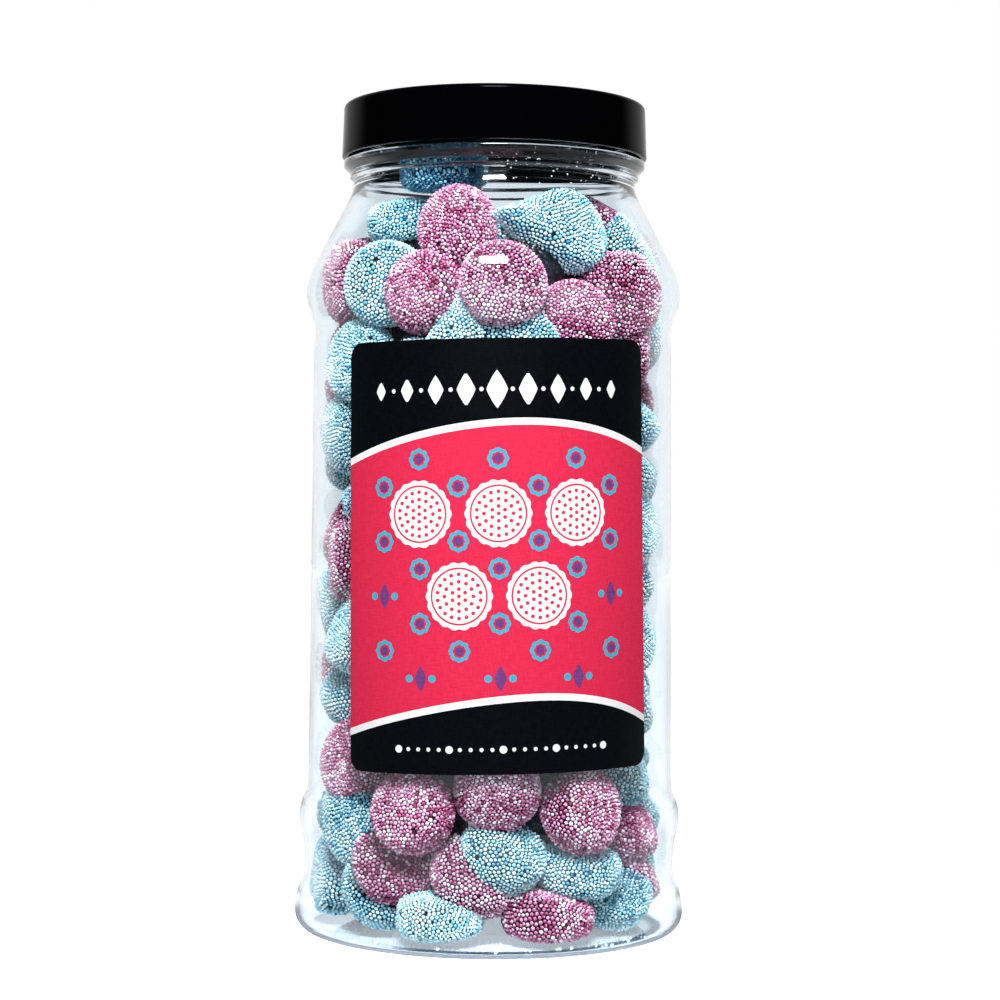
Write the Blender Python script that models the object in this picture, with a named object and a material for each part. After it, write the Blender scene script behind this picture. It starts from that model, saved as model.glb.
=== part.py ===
"""A jar of beaded jelly sweets: clear blown jar, black screw lid, wrapped label, heap of sweets.

Frame: +Z up, the front of the label faces -Y, origin at the centre of the standing ring.
The constants are in millimetres; MM turns them into metres when a mesh is written.
"""

import math
import random
from dataclasses import dataclass

import bmesh
import bpy
import numpy as np
from mathutils import Vector

MM = 0.001

# Round pieces
SEGMENTS = 36

# Jar: the blown wall, and the foot that it stands on
WALL = 1.0
FOOT_RADIUS = 42.4
HEEL_RADIUS = 4.2
RING_INNER_RADIUS = 32.0
PUSH_UP_HEIGHT = 5.0
DOME_RADII = (11.0, 21.5)
PANEL_LOW = (39.65, 33.5)
PANEL_HIGH = (39.0, 127.0)
BODY_KNOTS = (
    (42.2, 6.2), (41.9, 8.7), (40.6, 11.1), (40.2, 13.6), (40.2, 17.0), (40.8, 21.1),
    (41.45, 23.4), (41.5, 25.6), (41.15, 27.9), (39.85, 30.3), PANEL_LOW,
    PANEL_HIGH, (38.65, 129.2), (38.85, 131.4), (39.35, 133.0), (40.2, 135.2), (40.75, 137.2),
    (40.85, 139.0), (40.4, 141.6), (39.1, 144.6), (37.7, 147.3), (35.0, 152.3), (32.3, 157.6),
    (31.3, 159.6), (30.8, 161.2),
)

# Jar: the moulded neck, its support ledge and its mouth
NECK_KNOTS = ((30.75, 162.9), (31.5, 163.5), (31.5, 164.7), (32.9, 166.0), (32.9, 167.2))
FINISH_RADIUS = 30.9
NECK_BORE_RADIUS = 29.3
NECK_BORE_HEIGHT = 162.7
MOUTH_HEIGHT = 177.7
MOUTH_ROUNDING = 0.5

# Screw threads, one ridge on the finish and one inside the lid, half a pitch apart
THREAD_PITCH = 3.6
THREAD_TURNS = 1.5
THREAD_SIDES = 18
THREAD_START_HEIGHT = 169.8
THREAD_BASE_WIDTH = 1.7
THREAD_CREST_WIDTH = 0.8
THREAD_RUN_IN_SIDES = 2.0
THREAD_END_SHARE = 0.35
JAR_THREAD_RADII = (30.3, 31.65)
LID_THREAD_RADII = (32.9, 31.65)

# Lid
LID_RADIUS = 33.3
LID_TOP_RADIUS = 32.95
LID_BOTTOM_HEIGHT = 168.1
LID_TOP_HEIGHT = 179.6
LID_BORE_RADIUS = 32.0
LID_TOP_THICKNESS = 1.5
LID_EDGE_RADIUS = 1.1
LID_FOOT_CHAMFER = 0.3
LID_INNER_CHAMFER = 0.8

# Label
LABEL_BEARINGS = (-47.8, 53.4)
LABEL_HEIGHTS = (37.8, 126.6)
LABEL_TURN = 1.1
LABEL_MAP_RADIUS = 39.5
LABEL_CORNER_RADIUS = 3.2
LABEL_THICKNESS = 0.3
LABEL_GAP = 0.3
LABEL_COLUMNS = 14
LABEL_CORNER_COLUMNS = 3

# Sweets: beaded jelly buttons
COLOURS = ("pink", "blue")
SWEET_RADIUS = 9.4
SWEET_HALF_THICKNESS = 5.3
SWEET_SHOULDER = 0.62
SWEET_SIDES = 10
SADDLE_LEVEL = 0.3
RADIUS_RANGE = (0.95, 1.05)
HALF_RANGE = (0.92, 1.08)
TAPER_RANGE = (-0.22, 0.22)
BEND_RANGE = (-0.9, 0.9)
WALL_CLEARANCE = 0.5
FLOOR_CLEARANCE = 0.45
CORE_INSET = 7.2
CORE_HEIGHTS = (7.5, 147.0)
HIDDEN_BEARINGS = (-40.0, 46.0)
HIDDEN_HEIGHTS = (50.0, 113.0)
LAYOUT_SEED = 11


@dataclass
class Sweet:
    """One button of jelly: where it lies behind the wall, how it is turned, and its form."""

    colour: str
    bearing: float
    height: float
    lean: float
    roll: float
    inset: float = 0.0
    tip: float = 1.0
    radius: float = SWEET_RADIUS
    half: float = SWEET_HALF_THICKNESS
    taper: float = 0.0
    bend: float = 0.0
    fixed: bool = True
    reach: float = 0.0


# The sweets that show from the front, read off the photograph, those in front before those behind.
# Bearing in degrees from the front, to the right; height in mm; lean of the button's axis away
# from the wall's normal; roll, the way it leans, from the right and up; then mm back from the wall,
# and on the one drawn out to a point, how many radii that point lies from its centre.
FRONT_SWEETS = (
    # Row under the shoulder, then the shoulder and the neck
    ("blue", -13, 120.0, 6, 0, 0, 1.9), ("pink", 3.5, 138.0, 20, 80, 0),
    ("blue", 39, 150.2, 24, 81, 0, 2.1), ("pink", -28, 136.5, 16, 160, 1), ("pink", 60, 137.0, 24, 180, 0),
    ("pink", 34, 131.0, 18, 170, 1), ("pink", -17, 150.5, 22, 170, 0), ("blue", -50, 139.0, 34, 0, 0),
    ("pink", -81, 140.5, 12, 0, 0),
    ("blue", 77, 146.5, 28, 80, 0), ("blue", -60, 153.0, 82, 92, 2), ("blue", -35, 163.8, 82, 92, 0.5),
    ("pink", 82, 152.5, 60, 100, 0), ("blue", 9, 124.0, 12, 90, 0), ("blue", -31, 118.5, 10, 90, 0),
    # Left strip, beside the label
    ("blue", -62, 123.0, 14, 10, 0), ("blue", -72, 107.5, 12, 0, 0), ("blue", -66, 94.0, 70, 80, 3),
    ("pink", -71, 80.5, 16, 200, 0), ("blue", -62, 65.0, 24, 100, 0), ("blue", -75, 52.5, 66, 75, 0),
    ("pink", -61, 38.0, 16, 20, 0),
    # Right strip
    ("pink", 74, 126.0, 14, 20, 0), ("blue", 77, 112.0, 50, 100, 0), ("blue", 67, 101.0, 62, 80, 0),
    ("blue", 70, 89.0, 12, 90, 0), ("blue", 82, 76.5, 62, 70, 0), ("blue", 66, 65.5, 16, 120, 0),
    ("blue", 77, 51.5, 24, 60, 0), ("blue", 68, 37.5, 24, 60, 0),
    # Below the label
    ("pink", -27.5, 29.0, 10, 120, 0), ("pink", 3, 33.5, 28, 270, 0), ("pink", 35, 29.0, 12, 60, 0),
    ("blue", 6, 20.2, 54, 64, 0), ("pink", 24.5, 7.4, 84, 86, 0), ("blue", -19, 7.2, 86, 88, 0),
    ("blue", 39, 16.5, 76, 94, 0), ("pink", -6, 15.5, 56, 50, 1), ("blue", 63, 9.4, 56, 124, 0),
    ("pink", -41, 17.5, 50, 52, 0), ("blue", -60, 25.0, 14, 0, 0), ("pink", 74, 24.0, 34, 80, 0),
    ("blue", -51, 10.5, 66, 30, 0), ("pink", 82, 13.5, 40, 60, 0), ("blue", -86, 12.0, 12, 0, 0),
)

# The rest of the wall layer starts as staggered rows that keep clear of the front ones
ROW_HEIGHTS = (8.0, 21.5, 35.0, 48.5, 62.0, 75.5, 89.0, 102.5, 116.0, 129.5, 143.0)
ROW_COUNT = 12
ROW_CLEARANCE = 13.5
ROW_DRIFT = (4.0, 1.5)
ROW_LEANS = (8, 16, 24, 50, 66, 78, 86)
STEEP_LEAN = 40
STEEP_ROLLS = (50, 130)
RELAX_STEPS = 90
RELAX_DAMPING = 0.6
RELAX_REACH = 2.2 * SWEET_RADIUS
SHARE_AGAINST_FIXED = 0.9
SHARE_AGAINST_FREE = 0.45
DROP_OVERLAP = 2.4
TUCK_OVERLAP = 1.8
TUCK_STEP = 0.5
TUCK_LIMIT = 1.5

# Sweets on top of the heap and on the jar's floor, away from the wall
CROWN_COUNT = 6
CROWN_RADIUS = 12.0
CROWN_HEIGHTS = (149.0, 154.5)
CROWN_LEANS = (68, 100)
CROWN_DRIFT = 8.0
FLOOR_COUNT = 5
FLOOR_RADIUS = 14.0
FLOOR_DRIFT = 6.0


# ---------------------------------------------------------------- helpers


def clear_scene():
    """Remove every object, so that the file holds only the jar."""
    for item in list(bpy.data.objects):
        bpy.data.objects.remove(item, do_unlink=True)


def make_material(name, colour, roughness, alpha=1.0, metallic=0.0):
    """Return a Principled material in the given linear colour."""
    material = bpy.data.materials.new(name)
    material.use_nodes = True
    shader = material.node_tree.nodes["Principled BSDF"]
    shader.inputs["Base Color"].default_value = (*colour, 1.0)
    shader.inputs["Roughness"].default_value = roughness
    shader.inputs["Metallic"].default_value = metallic
    shader.inputs["Alpha"].default_value = alpha
    return material


def add_object(name, mesh, material=None):
    """Link a mesh to the scene as a smooth-shaded object."""
    item = bpy.data.objects.new(name, mesh)
    bpy.context.scene.collection.objects.link(item)
    if material:
        mesh.materials.append(material)
    mesh.shade_smooth()
    mesh.set_sharp_from_angle(angle=math.radians(35))
    return item


def arc(centre, radius, start, end, steps):
    """Points along an arc in the (radius, height) plane; angles in degrees from outward."""
    angles = [math.radians(start + (end - start) * k / steps) for k in range(steps + 1)]
    return [(centre[0] + radius * math.cos(a), centre[1] + radius * math.sin(a)) for a in angles]


def turned_mesh(name, outline):
    """Turn a closed (radius, height) outline about Z; points on the axis become single vertices.

    The outline runs up the outer side, so that the faces point out.
    """
    bm = bmesh.new()
    rings = []
    for radius, height in outline:
        if radius < 1e-6:
            rings.append([bm.verts.new((0.0, 0.0, height * MM))])
            continue
        angles = [2 * math.pi * k / SEGMENTS for k in range(SEGMENTS)]
        rings.append([
            bm.verts.new((radius * math.cos(a) * MM, radius * math.sin(a) * MM, height * MM))
            for a in angles
        ])
    for low, high in zip(rings, rings[1:] + rings[:1]):
        join_rings(bm, low, high)
    bmesh.ops.recalc_face_normals(bm, faces=bm.faces)
    mesh = bpy.data.meshes.new(name)
    bm.to_mesh(mesh)
    bm.free()
    return mesh


def join_rings(bm, low, high):
    """Bridge two rings of vertices, either of which may be a single point on the axis."""
    if len(low) == 1 and len(high) == 1:
        return
    count = max(len(low), len(high))
    for k in range(count):
        n = (k + 1) % count
        if len(low) == 1:
            bm.faces.new((low[0], high[n], high[k]))
        elif len(high) == 1:
            bm.faces.new((low[k], low[n], high[0]))
        else:
            bm.faces.new((low[k], low[n], high[n], high[k]))


def join_by_union(target, others):
    """Fuse the objects of a list onto the target, apply the result and remove the list."""
    group = bpy.data.collections.new(target.name + "_parts")
    for item in others:
        group.objects.link(item)
    modifier = target.modifiers.new("union", "BOOLEAN")
    modifier.operation = "UNION"
    modifier.operand_type = "COLLECTION"
    modifier.collection = group
    graph = bpy.context.evaluated_depsgraph_get()
    joined = bpy.data.meshes.new_from_object(target.evaluated_get(graph))
    target.modifiers.remove(modifier)
    target.data = joined
    for item in others:
        bpy.data.objects.remove(item, do_unlink=True)
    bpy.data.collections.remove(group)


def keep_largest_shell(mesh):
    """Drop loose scraps and the walls of sealed hollows, leaving the one outer shell."""
    bm = bmesh.new()
    bm.from_mesh(mesh)
    seen = set()
    shells = []
    for start in bm.verts:
        if start in seen:
            continue
        shell = []
        queue = [start]
        seen.add(start)
        while queue:
            vert = queue.pop()
            shell.append(vert)
            for edge in vert.link_edges:
                other = edge.other_vert(vert)
                if other not in seen:
                    seen.add(other)
                    queue.append(other)
        shells.append(shell)
    shells.sort(key=len)
    scraps = [vert for shell in shells[:-1] for vert in shell]
    bmesh.ops.delete(bm, geom=scraps, context="VERTS")
    bmesh.ops.dissolve_degenerate(bm, dist=1e-6, edges=bm.edges)
    bmesh.ops.triangulate(bm, faces=bm.faces)
    bm.to_mesh(mesh)
    bm.free()


# ---------------------------------------------------------------- jar


def inner_wall():
    """Points (radius, height) of the jar's inside, from the edge of the floor to the mouth."""
    heel_centre = (FOOT_RADIUS - HEEL_RADIUS, HEEL_RADIUS)
    wall = arc(heel_centre, HEEL_RADIUS - WALL, -90, 0, 3)
    wall += [(radius - WALL, height) for radius, height in BODY_KNOTS[:-1:2]]
    wall += [(NECK_BORE_RADIUS, NECK_BORE_HEIGHT), (NECK_BORE_RADIUS, MOUTH_HEIGHT)]
    return wall


def wall_radius(height):
    """Inner radius of the jar at a height."""
    wall = inner_wall()
    return np.interp(height, [z for _, z in wall], [radius for radius, _ in wall])


def underside(radius):
    """Height of the jar's domed underside at a radius, above the standing ring."""
    share = 1.0 - np.minimum(radius / RING_INNER_RADIUS, 1.0) ** 2
    return PUSH_UP_HEIGHT * share ** 2


def jar_outline():
    """Closed outline of the jar wall: underside, heel, body, neck, mouth, then the inside down."""
    heel_centre = (FOOT_RADIUS - HEEL_RADIUS, HEEL_RADIUS)
    outside = [(0.0, PUSH_UP_HEIGHT)]
    outside += [(r, float(underside(r))) for r in DOME_RADII]
    outside += [(RING_INNER_RADIUS, 0.0)]
    outside += arc(heel_centre, HEEL_RADIUS, -90, 0, 3)
    outside += BODY_KNOTS
    outside += NECK_KNOTS
    outside += [(FINISH_RADIUS, NECK_KNOTS[-1][1]), (FINISH_RADIUS, MOUTH_HEIGHT - MOUTH_ROUNDING)]
    outside += [(FINISH_RADIUS - MOUTH_ROUNDING, MOUTH_HEIGHT)]
    inside = inner_wall()[::-1]
    inside += [(RING_INNER_RADIUS, WALL)]
    inside += [(r, WALL + float(underside(r))) for r in DOME_RADII[::-1]]
    inside += [(0.0, WALL + PUSH_UP_HEIGHT)]
    return outside + inside


def thread_mesh(name, radii, start_height):
    """One helical ridge with a trapezoid section, closed at both tapered ends."""
    root, crest = radii
    steps = int(THREAD_TURNS * THREAD_SIDES)
    bm = bmesh.new()
    sections = []
    for k in range(steps + 1):
        angle = 2 * math.pi * THREAD_TURNS * k / steps
        height = start_height + THREAD_PITCH * THREAD_TURNS * k / steps
        run_in = min(k, steps - k) / THREAD_RUN_IN_SIDES
        ease = min(1.0, THREAD_END_SHARE + (1.0 - THREAD_END_SHARE) * run_in)
        top = root + (crest - root) * ease
        section = (
            (root, -THREAD_BASE_WIDTH / 2), (top, -THREAD_CREST_WIDTH / 2),
            (top, THREAD_CREST_WIDTH / 2), (root, THREAD_BASE_WIDTH / 2),
        )
        sections.append([
            bm.verts.new((r * math.cos(angle) * MM, r * math.sin(angle) * MM, (height + dz) * MM))
            for r, dz in section
        ])
    for here, there in zip(sections, sections[1:]):
        for k in range(4):
            n = (k + 1) % 4
            bm.faces.new((here[k], here[n], there[n], there[k]))
    bm.faces.new(sections[0])
    bm.faces.new(sections[-1])
    bmesh.ops.recalc_face_normals(bm, faces=bm.faces)
    mesh = bpy.data.meshes.new(name)
    bm.to_mesh(mesh)
    bm.free()
    return mesh


def build_jar():
    """Blown jar with a bulged foot and shoulder, a ringed neck and a threaded finish."""
    clear_plastic = make_material("clear_plastic", (0.93, 0.95, 0.96), 0.05, alpha=0.3)
    jar = add_object("jar", turned_mesh("jar", jar_outline()), clear_plastic)
    ridge = add_object("ridge", thread_mesh("ridge", JAR_THREAD_RADII, THREAD_START_HEIGHT))
    join_by_union(jar, [ridge])
    return jar


# ---------------------------------------------------------------- lid


def lid_outline():
    """Closed outline of the cap: skirt up, rounded edge, flat top, then the inside down."""
    edge_centre = (LID_TOP_RADIUS - LID_EDGE_RADIUS, LID_TOP_HEIGHT - LID_EDGE_RADIUS)
    ceiling = LID_TOP_HEIGHT - LID_TOP_THICKNESS
    outline = [(LID_RADIUS - LID_FOOT_CHAMFER, LID_BOTTOM_HEIGHT)]
    outline += [(LID_RADIUS, LID_BOTTOM_HEIGHT + LID_FOOT_CHAMFER)]
    outline += arc(edge_centre, LID_EDGE_RADIUS, 0, 90, 4)
    outline += [(0.0, LID_TOP_HEIGHT), (0.0, ceiling)]
    outline += [(LID_BORE_RADIUS - LID_INNER_CHAMFER, ceiling)]
    outline += [(LID_BORE_RADIUS, ceiling - LID_INNER_CHAMFER)]
    outline += [(LID_BORE_RADIUS, LID_BOTTOM_HEIGHT)]
    return outline


def build_lid():
    """Smooth black screw cap with one ridge of thread inside."""
    black_plastic = make_material("black_plastic", (0.006, 0.006, 0.007), 0.22)
    lid = add_object("lid", turned_mesh("lid", lid_outline()), black_plastic)
    start = THREAD_START_HEIGHT - THREAD_PITCH / 2
    ridge = add_object("ridge", thread_mesh("ridge", LID_THREAD_RADII, start + THREAD_PITCH))
    join_by_union(lid, [ridge])
    return lid


# ---------------------------------------------------------------- label


def panel_radius(height):
    """Outer radius of the jar's slightly tapered label panel at a height."""
    (low, z_low), (high, z_high) = PANEL_LOW, PANEL_HIGH
    return low + (high - low) * (height - z_low) / (z_high - z_low)


def label_columns():
    """Bearing and the two end heights of each column of the label, rounded at its corners."""
    first, last = LABEL_BEARINGS
    low, high = LABEL_HEIGHTS
    turn = math.degrees(LABEL_CORNER_RADIUS / PANEL_HIGH[0])
    columns = []
    for k in range(LABEL_CORNER_COLUMNS + 1):
        angle = math.radians(90.0 * k / LABEL_CORNER_COLUMNS)
        along = turn * (1 - math.cos(angle))
        drop = LABEL_CORNER_RADIUS * (1 - math.sin(angle))
        columns.append((first + along, low + drop, high - drop))
        columns.append((last - along, low + drop, high - drop))
    for k in range(1, LABEL_COLUMNS):
        bearing = first + turn + (last - first - 2 * turn) * k / LABEL_COLUMNS
        columns.append((bearing, low, high))
    return sorted(columns)


def turned_on_panel(bearing, height):
    """Bearing and height of a label point once the label is turned about its middle."""
    middle_bearing = sum(LABEL_BEARINGS) / 2
    middle_height = sum(LABEL_HEIGHTS) / 2
    along = math.radians(bearing - middle_bearing) * LABEL_MAP_RADIUS
    rise = height - middle_height
    turn = math.radians(LABEL_TURN)
    turned_along = along * math.cos(turn) - rise * math.sin(turn)
    turned_height = middle_height + along * math.sin(turn) + rise * math.cos(turn)
    return middle_bearing + math.degrees(turned_along / LABEL_MAP_RADIUS), turned_height


def bearing_point(radius, bearing, height):
    """Point in metres at a radius and a bearing from the front (-Y), to the right (+X)."""
    angle = math.radians(bearing)
    return Vector((radius * math.sin(angle), -radius * math.cos(angle), height)) * MM


def build_label():
    """Printed label, wrapped round the front of the panel."""
    print_red = make_material("printed_label", (0.75, 0.02, 0.09), 0.4)
    bm = bmesh.new()
    columns = []
    for bearing, low, high in label_columns():
        corners = []
        for height in (low, high):
            place = turned_on_panel(bearing, height)
            face = panel_radius(place[1]) + LABEL_GAP
            corners.append(bm.verts.new(bearing_point(face, *place)))
            corners.append(bm.verts.new(bearing_point(face + LABEL_THICKNESS, *place)))
        columns.append(corners)
    for here, there in zip(columns, columns[1:]):
        for a, b in ((0, 1), (1, 3), (3, 2), (2, 0)):
            bm.faces.new((here[a], here[b], there[b], there[a]))
    for end in (columns[0], columns[-1]):
        bm.faces.new((end[0], end[1], end[3], end[2]))
    bmesh.ops.recalc_face_normals(bm, faces=bm.faces)
    mesh = bpy.data.meshes.new("label")
    bm.to_mesh(mesh)
    bm.free()
    return add_object("label", mesh, print_red)


# ---------------------------------------------------------------- sweets


def rim_stretch(tip, turn):
    """Rim distance of a button over its radius, at a turn from its tip.

    A circle with the two tangents that meet at the tip: where a tangent is the rim, the distance
    is 1 / cos of the turn left to the point where that tangent touches the circle.
    """
    tangent_turn = math.acos(1.0 / tip)
    return 1.0 / math.cos(max(0.0, tangent_turn - abs(turn)))


def button_points(sweet):
    """Points of a button about its own centre in mm: two rings of a thick disc, then its poles.

    A tip draws the rim out and thins the button towards it, down to one part in its ratio. Taper
    thins one side, and bend makes the faces saddled.
    """
    rings = []
    for up in (-SWEET_SHOULDER * sweet.half, SWEET_SHOULDER * sweet.half):
        for k in range(SWEET_SIDES):
            turn = 2 * math.pi * k / SWEET_SIDES
            reach = sweet.radius * rim_stretch(sweet.tip, math.remainder(turn, 2 * math.pi))
            share = max(0.0, reach * math.cos(turn) / (sweet.tip * sweet.radius))
            thinning = 1.0 - (1.0 - 1.0 / sweet.tip) * share ** 2
            rings.append((reach * math.cos(turn), reach * math.sin(turn), up * thinning))
    rings += [(0.0, 0.0, -sweet.half), (0.0, 0.0, sweet.half)]
    points = np.array(rings)
    across = np.minimum(points[:, 0] / sweet.radius, 1.0)
    points[:, 2] *= 1.0 - sweet.taper * across
    points[:, 2] += sweet.bend * (across ** 2 - SADDLE_LEVEL)
    return points


def wall_frame(bearing):
    """Outward, rightward and upward unit vectors at a bearing."""
    angle = math.radians(bearing)
    outward = np.array((math.sin(angle), -math.cos(angle), 0.0))
    rightward = np.array((math.cos(angle), math.sin(angle), 0.0))
    return outward, rightward, np.array((0.0, 0.0, 1.0))


def button_axes(sweet):
    """Rows: the button's own x, y and axis directions in the jar's frame."""
    outward, rightward, upward = wall_frame(sweet.bearing)
    lean = math.radians(sweet.lean)
    roll = math.radians(sweet.roll)
    slide = math.cos(roll) * rightward + math.sin(roll) * upward
    axis = math.cos(lean) * outward + math.sin(lean) * slide
    side = -math.sin(roll) * rightward + math.cos(roll) * upward
    return np.stack((side, np.cross(axis, side), axis))


def touching_reach(sweet, offsets):
    """Distance of the button's centre from the jar's axis at which it meets the wall."""
    outward, rightward, _ = wall_frame(sweet.bearing)
    along = offsets @ outward
    across = offsets @ rightward
    limit = wall_radius(sweet.height + offsets[:, 2]) - WALL_CLEARANCE
    free = np.sqrt(np.maximum(limit ** 2 - across ** 2, 0.0)) - along
    return float(free.min()) - sweet.inset


def centre_of(sweet):
    """Centre of the button in the jar's frame, in mm."""
    outward, _, upward = wall_frame(sweet.bearing)
    return sweet.reach * outward + sweet.height * upward


def hub_points(sweet):
    """Seven points inside the button; a ball of its half thickness at each fills it."""
    ring = sweet.radius - sweet.half
    angles = [2 * math.pi * k / 6 for k in range(6)]
    flat = [(ring * math.cos(a), ring * math.sin(a), 0.0) for a in angles] + [(0.0, 0.0, 0.0)]
    return np.array(flat) @ button_axes(sweet) + centre_of(sweet)


def lift_off_floor(sweet, offsets):
    """How far the button must rise to clear the jar's floor."""
    places = offsets + centre_of(sweet)
    floor = WALL + underside(np.hypot(places[:, 0], places[:, 1]))
    return max(0.0, float((floor + FLOOR_CLEARANCE - places[:, 2]).max()))


def settle(sweet):
    """Put the button against the wall, clear of the floor."""
    offsets = button_points(sweet) @ button_axes(sweet)
    for _ in range(3):
        sweet.reach = touching_reach(sweet, offsets)
        sweet.height += lift_off_floor(sweet, offsets)


def overlap(one, other):
    """How deep two buttons reach into each other, in mm; negative where they are clear."""
    gaps = np.linalg.norm(one[1][:, None, :] - other[1][None, :, :], axis=2)
    return one[0].half + other[0].half - float(gaps.min())


def tuck_behind(sweets):
    """Move each button back from the wall until it clears those listed before it."""
    placed = []
    for sweet in sweets:
        settle(sweet)
        while sweet.inset < TUCK_LIMIT:
            here = (sweet, hub_points(sweet))
            if all(overlap(here, other) < TUCK_OVERLAP for other in placed):
                break
            sweet.inset += TUCK_STEP
            settle(sweet)
        placed.append((sweet, hub_points(sweet)))


def relax(sweets):
    """Slide the free buttons along the wall until they stop crossing their neighbours."""
    for _ in range(RELAX_STEPS):
        for sweet in sweets:
            settle(sweet)
        hubs = [(sweet, hub_points(sweet)) for sweet in sweets]
        centres = np.array([centre_of(sweet) for sweet in sweets])
        for i, sweet in enumerate(sweets):
            if sweet.fixed:
                continue
            push_right, push_up_wall = 0.0, 0.0
            near = np.linalg.norm(centres - centres[i], axis=1) < RELAX_REACH
            _, rightward, _ = wall_frame(sweet.bearing)
            for j in np.flatnonzero(near):
                depth = overlap(hubs[i], hubs[j]) if j != i else 0.0
                if depth <= 0.0:
                    continue
                away = centres[i] - centres[j]
                right, up = float(away @ rightward), float(away[2])
                size = max(math.hypot(right, up), 1e-3)
                share = SHARE_AGAINST_FIXED if sweets[j].fixed else SHARE_AGAINST_FREE
                push_right += RELAX_DAMPING * share * depth * right / size
                push_up_wall += RELAX_DAMPING * share * depth * up / size
            sweet.bearing += math.degrees(push_right / max(sweet.reach, SWEET_RADIUS))
            low, high = ROW_HEIGHTS[0], ROW_HEIGHTS[-1]
            sweet.height = min(max(sweet.height + push_up_wall, low), high)
    for sweet in sweets:
        settle(sweet)


def drop_crossing(sweets):
    """Leave out free buttons that still reach deep into a neighbour."""
    kept = []
    for sweet in sorted(sweets, key=lambda item: not item.fixed):
        here = (sweet, hub_points(sweet))
        clear = all(overlap(here, (other, hub_points(other))) < DROP_OVERLAP for other in kept)
        if sweet.fixed or clear:
            kept.append(sweet)
    return kept


def is_hidden(bearing, height):
    """Whether a place on the wall lies well behind the label."""
    across = HIDDEN_BEARINGS[0] < bearing < HIDDEN_BEARINGS[1]
    return across and HIDDEN_HEIGHTS[0] < height < HIDDEN_HEIGHTS[1]


def vary(sweet, draw):
    """Give a button its own size, thickness, taper and bend."""
    sweet.radius = SWEET_RADIUS * draw.uniform(*RADIUS_RANGE)
    sweet.half = SWEET_HALF_THICKNESS * draw.uniform(*HALF_RANGE)
    sweet.taper = draw.uniform(*TAPER_RANGE)
    sweet.bend = draw.uniform(*BEND_RANGE)
    return sweet


def row_sweets(draw, taken):
    """Buttons in staggered rows over the rest of the wall, away from the ones given."""
    sweets = []
    turn_drift, height_drift = ROW_DRIFT
    for row, level in enumerate(ROW_HEIGHTS):
        for k in range(ROW_COUNT):
            bearing = (k + 0.5 * (row % 2)) * 360.0 / ROW_COUNT - 180.0
            bearing += draw.uniform(-turn_drift, turn_drift)
            height = level + draw.uniform(-height_drift, height_drift)
            lean = draw.choice(ROW_LEANS)
            roll = draw.uniform(*STEEP_ROLLS) if lean > STEEP_LEAN else draw.uniform(0, 360)
            sweet = Sweet(draw.choice(COLOURS), bearing, height, lean, roll, fixed=False)
            vary(sweet, draw)
            settle(sweet)
            centre = centre_of(sweet)
            clear = all(np.linalg.norm(centre - centre_of(one)) > ROW_CLEARANCE for one in taken)
            if clear and not is_hidden(bearing, level):
                sweets.append(sweet)
    return sweets


def inner_sweets(draw):
    """Buttons lying on top of the heap and on the jar's floor, away from the wall."""
    sweets = []
    for k in range(CROWN_COUNT):
        bearing = 360.0 * k / CROWN_COUNT + draw.uniform(-CROWN_DRIFT, CROWN_DRIFT)
        lean = draw.uniform(*CROWN_LEANS)
        sweet = Sweet(draw.choice(COLOURS), bearing, CROWN_HEIGHTS[k % 2], lean, 90, fixed=False)
        vary(sweet, draw)
        sweet.reach = CROWN_RADIUS
        sweets.append(sweet)
    for k in range(FLOOR_COUNT):
        bearing = 360.0 * k / FLOOR_COUNT + draw.uniform(-FLOOR_DRIFT, FLOOR_DRIFT)
        sweet = Sweet(draw.choice(COLOURS), bearing, 0.0, 90, 90, fixed=False)
        vary(sweet, draw)
        sweet.reach = FLOOR_RADIUS
        sweet.height += lift_off_floor(sweet, button_points(sweet) @ button_axes(sweet))
        sweets.append(sweet)
    return sweets


def lay_out_sweets():
    """All the buttons that show, seeded so that each run gives the same heap."""
    draw = random.Random(LAYOUT_SEED)
    front = [vary(Sweet(*row), draw) for row in FRONT_SWEETS]
    tuck_behind(front)
    wall_layer = front + row_sweets(draw, front)
    relax(wall_layer)
    return drop_crossing(wall_layer + inner_sweets(draw))


def button_mesh(name, sweet):
    """Closed mesh with few sides for one button, in place in the jar."""
    points = (button_points(sweet) @ button_axes(sweet) + centre_of(sweet)) * MM
    sides = SWEET_SIDES
    low_pole, high_pole = len(points) - 2, len(points) - 1
    faces = []
    for k in range(sides):
        n = (k + 1) % sides
        faces.append((low_pole, n, k))
        faces.append((high_pole, sides + k, sides + n))
        faces.append((k, n, sides + n, sides + k))
    mesh = bpy.data.meshes.new(name)
    mesh.from_pydata([tuple(point) for point in points], [], faces)
    return mesh


def core_outline():
    """Closed outline of the smaller core that the buttons are fused onto."""
    low, high = CORE_HEIGHTS
    heights = np.linspace(low, high, 9)
    outline = [(0.0, low)]
    outline += [(float(wall_radius(z)) - CORE_INSET, float(z)) for z in heights]
    outline += [(0.0, high)]
    return outline


def build_sweets():
    """Heap of buttons: those against the wall, on top and on the floor, fused onto a core."""
    jelly = make_material("beaded_jelly", (0.35, 0.18, 0.42), 0.5)
    heap = add_object("sweets", turned_mesh("sweets", core_outline()), jelly)
    buttons = []
    for k, sweet in enumerate(lay_out_sweets()):
        name = f"button_{k:03d}"
        buttons.append(add_object(name, button_mesh(name, sweet)))
    join_by_union(heap, buttons)
    keep_largest_shell(heap.data)
    return heap


def main():
    """Build the four pieces of the jar."""
    clear_scene()
    build_jar()
    build_lid()
    build_label()
    build_sweets()


main()
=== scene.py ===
"""Looks of a clear jar of beaded jelly sweets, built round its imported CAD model.

Lengths are in millimetres and angles in degrees until a mesh is written, where MM turns them into
metres. A bearing is measured from the front of the label (-Y), to the right (+X).
"""

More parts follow.
